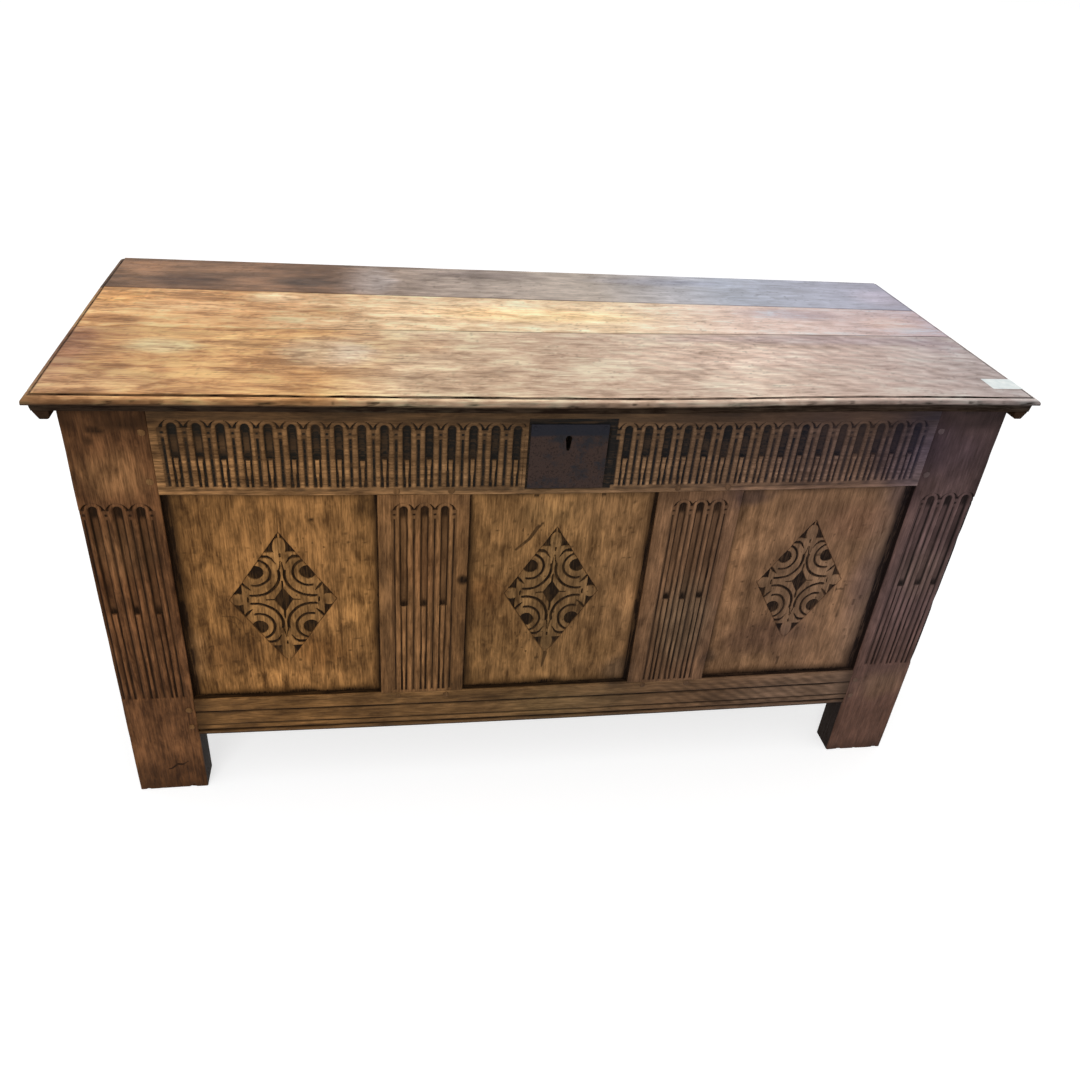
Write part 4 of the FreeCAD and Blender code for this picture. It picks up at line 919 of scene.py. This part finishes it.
def carved_panel(name, sides, centre_x, centre_z, half, rise, fall, seed, marks=(), stains=()):
    """A front panel: its two edges, then where its lozenge is.

    marks are strokes cut or scratched in it, with their depth; stains are (x, z, width, height,
    change of tone).
    """
    x0, x1 = sides
    scratched = [(point[0] - 2, point[0] + 2, 1.0) for points, _ in marks for point in points]
    us = lines(x0, x1, 4.0, (centre_x - half - 2, centre_x + half + 2, 0.7), *scratched)
    vs = lines(PANEL_LOW, PANEL_HIGH, 4.0, (centre_z - fall - 2, centre_z + rise + 2, 0.7))

    def carving(u, v):
        return lozenge(u, v, centre_x, centre_z, half, rise, fall, seed)

    def scratches(u, v):
        cut = np.zeros(np.shape(u))
        for points, deep in marks:
            cut = np.maximum(cut, deep * ease(-0.8, 0.4, stroke(u, v, *points)))
        return cut

    def depth(u, v):
        return uneven(u, v, seed, 1.2, "v") + carving(u, v) + 0.6 * scratches(u, v)

    def tint(x, y, z):
        reach = np.where(z > centre_z, rise, fall)
        inside = 1 - ease(0.9, 1.0, np.abs(x - centre_x) / half + np.abs(z - centre_z) / reach)
        return front_tint(x, y, z) * (1 + inside[:, None] * np.array([-0.05, 0.01, 0.07]))

    def paint(u, v, w, face):
        n = noises(u, v, seed)
        gap = np.minimum(np.minimum(u - x0 - 7, x1 - 7 - u),
                         np.minimum(v - RAIL_TOP, TOP_RAIL_LOW - v))
        # dirt and painted shade along the frame; within 5 mm of it near black, painted shade in
        # the gap between panel and frame
        border = (1 - ease(0, 18, gap)) ** 1.6 * (0.35 + 0.75 * n(30, 40, 2))
        specks = 0.7 * ease(0.86, 0.93, n(3.5, 7, 7)) * n(45, 45, 8)
        grime_and_shade = np.maximum.reduce([hollow_grime(carving(u, v), 0.4, 1.5) * 0.95, border,
                                   1 - ease(0.8, 5.0, gap), scratches(u, v), specks])
        wear_and_highlight = 0.4 * ease(0.5, 0.85, n(50, 90, 3))
        calm = 1 - 0.5 * ease(-200, 300, u)
        tone = 0.5 + 0.13 * calm * rough(u / 55, v / 100, seed, 3)
        for cu, cv, ru, rv, change in stains:
            tone = tone + change * blob(u + 5 * rough(u / 8, v / 8, seed, 2), v, cu, cv, ru, rv)
        return np.where(face, grime_and_shade, 0.5), wear_and_highlight, tone

    wood(name, us, vs, depth, PANEL_STAGES, in_grooves(front_place), paint, "oak_carved_panel",
         tint)


front_stile("front_left_stile", -HALF_WIDTH, (-569.0, -541.7, -515.0), 327.0, 178.0, 21)
front_stile("front_right_stile", OPENING, (520.3, 546.3, 571.7), 336.0, 185.0, 22)
front_muntin("front_left_muntin", LEFT_MUNTIN, (-202.5, -176.1, -150.0), 329.7, 177.0, 23)
front_muntin("front_right_muntin", RIGHT_MUNTIN, (163.9, 187.8, 212.5), 329.0, 176.0, 24)
front_top_rail()
front_bottom_rail()
carved_panel("front_left_panel", FRONT_PANELS[0], -359.5, 338.5, 69.0, 108.0, 111.0, 51,
             marks=[([(-490, 178, 2.4), (-490, 250, 2.2), (-489, 330, 1.8), (-489, 400, 0.5)],
                     0.97), ([(-359.5, 444, 0.5), (-359, 500, 0.4)], 0.6),
                    ([(-325, 468, 0.8), (-316, 465, 1.3)], 0.95),
                    ([(-440, 312, 0.5), (-424, 311, 0.6), (-415, 300, 0.6), (-414, 281, 0.6),
                      (-418, 267, 0.4)], 0.5),
                    ([(-435, 306, 0.5), (-424, 300, 0.5), (-420, 285, 0.6), (-422, 262, 0.4)],
                     0.45)],
             stains=[(-243, 486, 34, 26, -0.3), (-480, 490, 26, 60, -0.2),
                     (-420, 285, 44, 40, -0.07), (-330, 205, 90, 14, 0.12)])
carved_panel("front_centre_panel", FRONT_PANELS[1], -0.2, 340.5, 66.0, 109.0, 113.0, 52,
             marks=[([(-20, 456, 1.4), (-27, 449, 2.5), (-37, 431, 2.1), (-54, 414, 1.5)], 0.75),
                    ([(0, 230, 3.0), (-3, 206, 1.4)], 0.65),
                    ([(-33, 499, 2.4), (-31, 499, 2.2)], 0.8),
                    ([(56, 500, 2.6), (58, 500, 2.4)], 0.8),
                    ([(126, 178, 3.4), (126, 300, 2.6), (127, 500, 1.0)], 0.97)],
             stains=[(0, 250, 24, 34, -0.14), (100, 470, 40, 30, 0.08), (-90, 240, 60, 90, -0.13)])
carved_panel("front_right_panel", FRONT_PANELS[2], 364.0, 345.5, 65.0, 105.0, 110.0, 53,
             stains=[(478, 480, 24, 40, -0.12), (478, 195, 26, 46, -0.2),
                     (350, 188, 90, 16, 0.08)])


# ---- ends, back, floor and till -----------------------------------------------------------
def plain_side(prefix, half, place, muntins, muntin_half, rail_low, set_in, panels, material,
               seed):
    """Rails, muntins and panels of an end or of the back, in place of their CAD nodes."""
    depth = GROOVE_DEPTH
    plain_board(prefix + "_top_rail", -half, half, TOP_RAIL_LOW, CARCASE_TOP - AIR, BACK_RAIL,
                place, material, seed, "u", grooves=(0, 0, depth, 0), set_in=set_in)
    plain_board(prefix + "_bottom_rail", -half, half, rail_low, RAIL_TOP, BACK_RAIL, place,
                material, seed + 1, "u", grooves=(0, 0, 0, depth))
    for index, (name, middle) in enumerate(muntins):
        plain_board(name, middle - muntin_half, middle + muntin_half, RAIL_TOP, TOP_RAIL_LOW,
                    BACK_RAIL, place, "oak_plain_upright", seed + 2 + index, "v",
                    grooves=(depth, depth, 0, 0))
    for index, (name, left, right) in enumerate(panels):
        plain_panel(name, left, right, place, seed + 6 + index)


for side, label, first, second, seed in ((-1, "left", "back", "front", 60),
                                         (1, "right", "front", "back", 75)):
    plain_side(label, END_HALF, end_place(side), [(label + "_muntin", 0.0)], END_MUNTIN_HALF,
               RAIL_LOW, 0.0, [("%s_%s_panel" % (label, first), -END_HALF - 1, -43.0),
                               ("%s_%s_panel" % (label, second), 43.0, END_HALF + 1)],
               "oak_end_rail", seed)
plain_side("back", OPENING, back_place,
           [(node, -(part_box(node)[0].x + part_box(node)[1].x) * 500)
            for node in ("back_left_muntin", "back_right_muntin")], MUNTIN_HALF, FLOOR_TOP, AIR,
           [(name, *sides) for name, sides in zip(
               ("back_right_panel", "back_centre_panel", "back_left_panel"), FRONT_PANELS)],
           "oak_plain_rail", 90)
for label, u0, seed in (("left", OPENING, 111), ("right", -HALF_WIDTH, 110)):
    plain_board("back_%s_stile" % label, u0, u0 + STILE_WIDTH, AIR, CARCASE_TOP - AIR,
                STILE_DEPTH, back_place, "oak_plain_upright", seed, "v", radius=2.4)

for index in range(5):
    name = "floor_board_%d" % (index + 1)
    low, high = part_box(name)
    right = high.x * 1000 - (8.0 if index < 4 else 0.0)
    plain_board(name, low.x * 1000 + 0.3, right - 0.3, low.y * 1000, high.y * 1000, FLOOR_BOARD,
                flat_place(FLOOR_TOP), "oak_inside", 120 + index, "v", radius=0.8, step=20.0)
low, high = [corner * 1000 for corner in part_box("till_bottom")]
plain_board("till_bottom", low.x, high.x, low.y, high.y, TILL_BOARD, flat_place(high.z),
            "oak_till", 130, "v", radius=0.6, step=20.0)
low, high = [corner * 1000 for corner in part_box("till_side")]
TILL_X = high.x
plain_board("till_side", -high.y, -low.y, low.z, high.z, TILL_BOARD,
            lambda u, v, w: (TILL_X - w, -u, v), "oak_till", 131, "u", radius=1.2, step=20.0)


# ---- lid ----------------------------------------------------------------------------------
QUIRK, QUIRK_DROP, NOSE_TOP = 9.0, 1.8, 8.0
JOINT_GAP = 0.15
END_LINES = np.array([0, 0.2, 0.7, 1.6, 3.0, 4.6, 6.0, 6.9, 8.0, 8.7, 9.3, 9.9, 11, 13])


def slanted(left, right):
    """A line across the lid: its y at any x, given both ends."""
    return lambda x: left + (right - left) * (x + LID_HALF) / (2 * LID_HALF)


def lid_board(name, front, back, material, seed, knots, patches):
    """One board of the lid; the front one carries the moulding on its front edge.

    knots are its colours from left to right, patches (x, y, width, depth, red, green, blue); the
    knots turn greyer and bluer towards the right, a painted reflection of window light on the
    waxed top.
    """
    nosed, last = name == "lid_front_board", name == "lid_back_board"
    span = back(-LID_HALF) - front(-LID_HALF)
    us = np.concatenate([-LID_HALF + END_LINES, lines(-LID_HALF + 17, LID_HALF - 17, 3.0),
                         LID_HALF - END_LINES[::-1]])
    near = END_LINES if nosed else [0, 0.2, 0.5, 1.0, 2.0, 5.0, 9.0, 13]
    vs = np.concatenate([near, lines(17, span - 6, 3.0), span - np.array([2.0, 1.0, 0.5, 0.2, 0])])

    def inset(u, v):
        to_end = LID_HALF - np.abs(u)
        return np.minimum(to_end, v) if nosed else to_end

    def joint(v, start, end):
        """1 at the joints with the next boards, falling to 0 from start to end beside them."""
        return 1 - ease(start, end, span - v if nosed else np.minimum(span - v, v))

    def pitted(u, v):
        return noise(u / 8, v / 5, seed + 9)

    def depth(u, v):
        s, n = inset(u, v), noises(u, v, seed)
        curve = np.sqrt(np.clip(1 - ((QUIRK - s) / QUIRK) ** 2, 0, 1))
        nose = QUIRK_DROP + (NOSE_TOP - QUIRK_DROP) * (1 - curve)
        nose = nose + 1.3 * (1 - ease(0.4, 2.4, QUIRK - s))
        worn = 0.35 * (1 + rough(u / 40, v / 40, seed + 7, 2))
        pits = 0.9 * ease(0.8, 0.92, pitted(u, v)) * (1 - ease(0.5, 3, s))
        top = worn * 0.6 + 0.5 * uneven(u, v, seed, 1.0, "u")
        top = top + 1.1 * ease(2.2, 0, s - 9.05) * n(25, 25, 1) ** 2
        top = np.maximum(top, 0.3 * (u > 550) * (v < 75) * nosed)
        fall = np.where(s < 9.1, nose + 0.25 * worn + pits, top)
        return np.maximum(fall, 0.9 * joint(v, 0, 1.6))

    def place(u, v, w):
        inside = np.clip(v, 0, span)
        room = (back(u) - front(u) - 14) / (span - 14)
        y = front(u) + np.where(inside < 14, inside, 14 + (inside - 14) * room)
        gap = JOINT_GAP * ((v <= 0) & (not nosed)) - JOINT_GAP * ((v >= span) & (not last))
        return u, y + gap, LID_TOP - w * (1 - 0.22 * ease(-100, 400, u) * (w < 12))

    def paint(u, v, w, face):
        s, n = inset(u, v), noises(u, v, seed)
        seam = joint(v, 0.6, 2.2) * (0.35 + 0.65 * ease(-500, -250, u))
        grime_and_shade = np.maximum.reduce([
            # the quirk's dark line: painted shadow in the quirk
            0.95 * between(s, 6.9, 9.5, 0.7) * (0.75 + 0.25 * n(14, 14, 2)),
            # the nose's lower rounding darkened: painted shade, with grime
            0.8 * (1 - ease(0.4, 4.2, s)) * (0.6 + 0.4 * n(12, 12, 3)),
            0.8 * ease(0.76, 0.88, pitted(u, v)) * (1 - ease(1, 4, s)),
            0.55 * (u < -590) * (1 - ease(6, 8, s)),
            0.8 * seam * (0.5 + 0.5 * noise(u / 60, 0 * u, seed)),
            0.38 * ease(0.80, 0.9, n(5.5, 4, 4)) * n(60, 60, 5)])
        # painted highlights on the nose's top and on the lid's edge above the quirk, with wear
        wear_and_highlight = 0.6 * between(s, 3.6, 5.8, 1.2) + 0.7 * between(s, 9.9, 12, 1.2) * nosed * (v < 20)
        wear_and_highlight = wear_and_highlight * (0.6 + 0.4 * n(30, 30, 8))
        lively = 0.08 + 0.10 * ease(0, -350, u)
        waves = np.sin((v + 0.5 * u + 16 * rough(u / 45, v / 22, seed + 13, 2)) / 3.4)
        waves = nosed * waves * between(u, 120, 560, 90) * between(v, 40, 190, 25)
        tone = 0.5 + lively * rough(u / 48, v / 16, seed + 6, 4) + 0.07 * waves
        # Behind the face, the parts under the nose and between the boards are painted near-black,
        # tone 0: painted shade; plain marks the parts left plain.
        plain = (((v > span - 1) & last) | ((w > 21) & (s > 9.5))
                 | ((np.abs(u) > LID_HALF - 8) & (v > 20)))
        return (np.where(face, grime_and_shade, np.where(plain, 0.4, 0.85)), wear_and_highlight,
                np.where(face, tone, np.where(plain, 0.3, 0.0)))

    def tint(x, y, z):
        wander = 11 * rough(x / 26, y / 14, seed + 11, 3) + 7 * rough(x / 60, y / 5, seed + 12, 2)
        colour = stained(drift(x, *knots), x, y, patches, wander, 0.5)
        # painted shade: the lid's faces below the nose top are darkened
        under_nose_shade = 1 - ease(LID_TOP - 11, LID_TOP - 8, z)[:, None]
        return colour + under_nose_shade * (np.array([0.62, 0.53, 0.44]) - colour)

    nose = QUIRK if nosed else 0.0
    stages = [(11.0, 0, 0, 0, 0), (11.0, 3.5, 3.5, nose, 0.0), (21.5, 6.0, 6.0, nose, 0.0)]
    wood(name, us, vs, depth, stages, place, paint, material, tint, settle_lid, body="lid")


FIRST_JOINT, SECOND_JOINT = slanted(-36.5, -19.5), slanted(108.5, 93.5)
lid_board("lid_front_board", slanted(LID_FRONT, LID_FRONT), FIRST_JOINT, "oak_lid_front", 140,
          [(-600, 0.72, 0.49, 0.30), (-300, 0.90, 0.63, 0.36), (-200, 0.92, 0.84, 0.73),
           (0, 0.82, 0.76, 0.74), (250, 0.97, 0.97, 1.06), (420, 0.80, 0.80, 0.95),
           (600, 0.69, 0.77, 1.02)],
          [(-600, -110, 45, 130, 0.84, 0.8, 0.95), (-490, -94, 62, 34, 1.0, 1.3, 1.62),
           (-298, -108, 80, 66, 1.05, 1.36, 1.95), (-560, -60, 60, 30, 0.75, 0.7, 0.7),
           (-190, -80, 90, 40, 0.92, 0.85, 0.8), (360, -42, 300, 27, 0.86, 0.87, 0.98),
           (250, -110, 230, 50, 1.16, 1.16, 1.18), (350, -150, 120, 40, 0.9, 0.88, 0.88),
           (560, -55, 60, 50, 0.84, 0.8, 0.84), (-400, -85, 50, 40, 1.18, 1.28, 1.3),
           (-560, -205, 110, 40, 1.2, 1.28, 1.4)])
lid_board("lid_middle_board", FIRST_JOINT, SECOND_JOINT, "oak_lid_middle", 150,
          [(-600, 0.90, 0.66, 0.44), (-400, 0.84, 0.61, 0.42), (-200, 0.97, 0.90, 0.82),
           (100, 1.04, 1.05, 1.05), (300, 0.96, 0.98, 1.28), (600, 0.64, 0.67, 1.08)],
          [(-575, -10, 60, 24, 0.6, 0.54, 0.5), (-373, 82, 55, 28, 1.15, 1.35, 1.6),
           (-570, 70, 50, 40, 1.2, 1.15, 1.0), (-470, 40, 90, 30, 1.1, 1.15, 1.25),
           (0, 35, 200, 40, 1.12, 1.08, 0.92), (-300, 30, 60, 30, 0.78, 0.7, 0.62),
           (380, 62, 120, 36, 0.74, 0.76, 0.86), (-131, 44, 110, 40, 1.14, 1.14, 1.12),
           (540, 30, 70, 40, 1.12, 1.05, 0.95)])
lid_board("lid_back_board", SECOND_JOINT, slanted(LID_BACK_LEFT, LID_BACK_RIGHT), "oak_lid_back",
          160,
          [(-600, 0.44, 0.28, 0.18), (-300, 0.40, 0.26, 0.18), (-230, 0.56, 0.47, 0.42),
           (-150, 0.72, 0.66, 0.64), (100, 0.84, 0.83, 0.83), (320, 0.87, 1.08, 1.48),
           (600, 0.75, 0.86, 1.24)],
          [(-500, 150, 75, 34, 0.5, 0.5, 0.55), (-333, 150, 75, 32, 0.45, 0.5, 0.58),
           (-245, 165, 56, 90, 1.6, 1.85, 2.2), (-570, 205, 60, 40, 1.3, 1.25, 1.2),
           (-60, 210, 130, 30, 0.7, 0.68, 0.7), (575, 150, 70, 60, 1.2, 1.12, 1.1),
           (200, 200, 160, 25, 0.8, 0.82, 0.9)])

label_low, label_high = np.array([561.5, -205.5, 643.75]), np.array([604.0, -173.5, 643.95])
corners = np.array([[x, y, z] for z in (0, 1) for x, y in ((0, 0), (1, 0), (1, 1), (0, 1))])
paper = new_look("paper")
paper.set(Base_Color=paper.mix(paper.noise(paper.places, 90), srgb(226, 234, 234),
                               srgb(246, 250, 248)), Roughness=0.8, Specular_IOR_Level=0.2)
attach(make_object("blank_paper_label", label_low + corners * (label_high - label_low),
                    [(3, 2, 1, 0), (4, 5, 6, 7), (0, 1, 5, 4), (1, 2, 6, 5), (2, 3, 7, 6),
                     (3, 0, 4, 7)], paper.owner), "lid")


# ---- pieces that keep the CAD's shape -----------------------------------------------------
def welded(mesh):
    """An editable copy of a CAD mesh, its faces joined."""
    shape = bmesh.new()
    shape.from_mesh(mesh)
    bmesh.ops.remove_doubles(shape, verts=shape.verts, dist=1e-5)
    return shape


def settled_copy(node, material="wrought_iron", body="carcase", cut_every=0.0, bevel=0.0,
                 grime_and_shade=0.3):
    """A copy of a CAD node that follows the sag, cut across where it has to bend."""
    shape = welded(nodes[node].data)
    bmesh.ops.dissolve_limit(shape, angle_limit=math.radians(1), verts=shape.verts,
                             edges=shape.edges)
    low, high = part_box(node)
    for axis in range(3 if cut_every else 0):
        normal = Vector([float(k == axis) for k in range(3)])
        count = int((high[axis] - low[axis]) / cut_every)
        for k in range(count):
            at = low[axis] + (high[axis] - low[axis]) * (k + 1) / (count + 1)
            bmesh.ops.bisect_plane(shape, geom=shape.verts[:] + shape.edges[:] + shape.faces[:],
                                   plane_co=normal * at, plane_no=normal)
    shape.verts.index_update()
    places = np.array([vertex.co[:] for vertex in shape.verts]) * 1000
    faces = [[vertex.index for vertex in face.verts] for face in shape.faces]
    shape.free()
    sag = settle_staple if node == "lid_staple" else settle_lid if body == "lid" else settle
    made = make_object(node + "_piece", sag(places), faces, MATERIALS[material],
                       (grime_and_shade, 0.1, 0.5), smooth_angle=35)
    if bevel:
        rounding = made.modifiers.new("soft_edges", "BEVEL")
        rounding.width = bevel / 1000
        rounding.segments = 2
        rounding.limit_method = "ANGLE"
        rounding.angle_limit = math.radians(40)
    put(made, body, material, node)


settled_copy("lock_plate", "plate_iron", bevel=0.3)
for node in ("lock_back_plate", "lock_case", "bolt_spring", "drill_pin"):
    settled_copy(node)
for node in ("left_hinge_strap", "right_hinge_strap"):
    settled_copy(node, body="lid", cut_every=0.04)
settled_copy("lid_staple", body="lid")
settled_copy("lock_bolt", body="lock_bolt")
for node in ("left_cleat", "right_cleat"):
    # The cleats under the lid are dark oak with grime and painted shade.
    settled_copy(node, "oak_cleat", "lid", 0.04, bevel=1.2, grime_and_shade=0.75)
for node in ("left_hinge_leaf", "right_hinge_leaf", "hinge_pins"):
    nodes[node].data.materials.clear()
    nodes[node].data.materials.append(MATERIALS["wrought_iron"])


def domes(name, heads, outwards, sides, sag, material, aging_and_shading, seed, rings, tint=None):
    """Small uneven heads in one mesh, all facing outwards; rings are (rise, half width)."""
    draw = np.random.RandomState(seed)
    places, faces = [], []
    out = np.array(outwards, float)
    side = np.cross(out, (0, 0, 1) if abs(out[2]) < 0.5 else (0, 1, 0))
    up = np.cross(side, out)
    for head in heads:
        turn, proud = draw.uniform(0, 1), draw.uniform(-0.3, 0.1)
        angles = 2 * math.pi * (np.arange(sides) + turn) / sides
        loops = []
        for rise, width in rings:
            size = width * draw.uniform(0.9, 1.12, sides)
            loops.append(list(range(len(places), len(places) + sides)))
            places.extend(np.array(head) + out * (rise + proud)
                          + np.outer(size * np.cos(angles), side)
                          + np.outer(size * np.sin(angles), up))
        for inner, outer in zip(loops, loops[1:]):
            for k in range(sides):
                m = (k + 1) % sides
                faces.append((inner[k], outer[k], outer[m], inner[m]))
        faces += [loops[-1][::-1], loops[0]]
    places = np.array(places)
    return make_object(name, sag(places), faces, MATERIALS[material], aging_and_shading,
                       tint(*places.T) if tint else (1, 1, 1), smooth_angle=35)


def loose_parts(mesh):
    """The vertex places of each separate part of a mesh, in millimetres."""
    shape = welded(mesh)
    left = set(shape.verts)
    parts = []
    while left:
        found = [left.pop()]
        for vertex in found:
            for edge in vertex.link_edges:
                other = edge.other_vert(vertex)
                if other in left:
                    left.remove(other)
                    found.append(other)
        parts.append(np.array([vertex.co[:] for vertex in found]) * 1000)
    shape.free()
    return sorted(parts, key=lambda part: tuple(np.round(part.mean(0), 1)))


def pegs(node, outwards, seed, tint=None):
    """Riven pegs with uneven domed heads where the CAD node has its plain ones."""
    heads = []
    for part in loose_parts(nodes[node].data):
        reach = part @ np.array(outwards, float)
        heads.append(part[reach > reach.max() - 0.5].mean(0))
    put(domes(node + "_heads", heads, outwards, 9, settle, "oak_peg", (0.12, 0.1, 0.5), seed,
              ((-4.0, 4.2), (-0.5, 4.4), (0.0, 3.2)), tint), "carcase", "oak_peg", node)


pegs("front_pegs", (0, -1, 0), 171, front_tint)
pegs("back_pegs", (0, 1, 0), 172)
pegs("left_pegs", (-1, 0, 0), 173)
pegs("right_pegs", (1, 0, 0), 174)


def nails(name, body, heads, outwards, half, seed, material="wrought_iron"):
    put(domes(name, heads, outwards, 7, settle_lid if body == "lid" else settle, material,
              (0.3, 0.0, 0.5), seed, ((-1.5, half * 0.9), (0.5, half), (1.0, half * 0.6))),
        body, material)


plate_y, back_plate_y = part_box("lock_plate")[0].y * 1000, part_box("lock_back_plate")[1].y * 1000
nails("lock_plate_nails", "carcase", [(x, plate_y, z) for x in (-43, 45) for z in (521, 600.5)],
      (0, -1, 0), 2.2, 181, "plate_iron")
nails("lock_inner_nails", "carcase",
      [(x, back_plate_y, z) for x in (-55, 57) for z in (541, 610)], (0, 1, 0), 3.0, 182)
nails("hinge_leaf_nails", "carcase",
      [(side * HINGE_X + off, BACK_Y + 2.0, HINGE_Z - fall) for side in (-1, 1)
       for off, fall in ((-9, 27), (9, 27), (0, 62), (0, 97))], (0, 1, 0), 3.2, 183)
nails("hinge_strap_nails", "lid",
      [(side * HINGE_X, HINGE_Y - along, 620.0) for side in (-1, 1)
       for along in (46, 88, 130, 172, 214)], (0, 0, -1), 3.2, 184)
nails("cleat_nails", "lid", [(side * 594.0, y, 611.5) for side in (-1, 1)
                             for y in (-205, -110, 20, 60, 125, 205)], (0, 0, -1), 2.4, 185)


# ---- the scene ----------------------------------------------------------------------------
def camera():
    """A camera where the photographer stood, fitted to the photograph's outline."""
    data = bpy.data.cameras.new("camera")
    data.lens = 30.91
    data.sensor_width = 36.0
    made = link("camera", data)
    right = Vector((0.98600716, -0.14792561, 0.07686279))
    down = Vector((-0.0171972, -0.54887618, -0.83572674))
    ahead = Vector((0.16581354, 0.82271073, -0.53974376))
    turn = Matrix((right, -down, -ahead)).transposed().to_4x4()
    made.matrix_world = Matrix.Translation((-0.22775, -1.2239, 1.09008)) @ turn
    bpy.context.scene.camera = made


def surroundings():
    """White world, pale floor, one broad soft light from the front left and one from above."""
    world = bpy.data.worlds.new("studio")
    bpy.context.scene.world = world
    sky = Look(world, "Background")
    sky.set(Color=(1, 1, 1, 1), Strength=sky.steps(sky.seen_directly(), 0.0, 1.0, 0.7, 1.0))

    mesh = bpy.data.meshes.new("floor")
    half = 60.0
    mesh.from_pydata([(-half, -half, 0), (half, -half, 0), (half, half, 0), (-half, half, 0)], [],
                     [(0, 1, 2, 3)])
    look = new_look("floor_white")
    look.set(Base_Color=(0.55, 0.55, 0.55, 1), Roughness=0.9, Specular_IOR_Level=0.0,
             Emission_Color=(1, 1, 1, 1),
             Emission_Strength=look.times(look.seen_directly(), 0.66))
    mesh.materials.append(look.owner)
    floor = link("floor", mesh)

    for name, place, size, power in (("key", (-1.3, -3.0, 1.9), 1.6, 42.0),
                                     ("top", (0.2, 0.2, 3.2), 2.5, 8.0)):
        data = bpy.data.lights.new(name, "AREA")
        data.shape = "SQUARE"
        data.size = size
        data.energy = power
        lamp = link(name, data)
        lamp.location = place
        aim = Vector((0, 0, 0.35)) - Vector(place)
        lamp.rotation_euler = aim.to_track_quat("-Z", "Y").to_euler()


camera()
surroundings()
bpy.context.scene.view_settings.view_transform = "Standard"
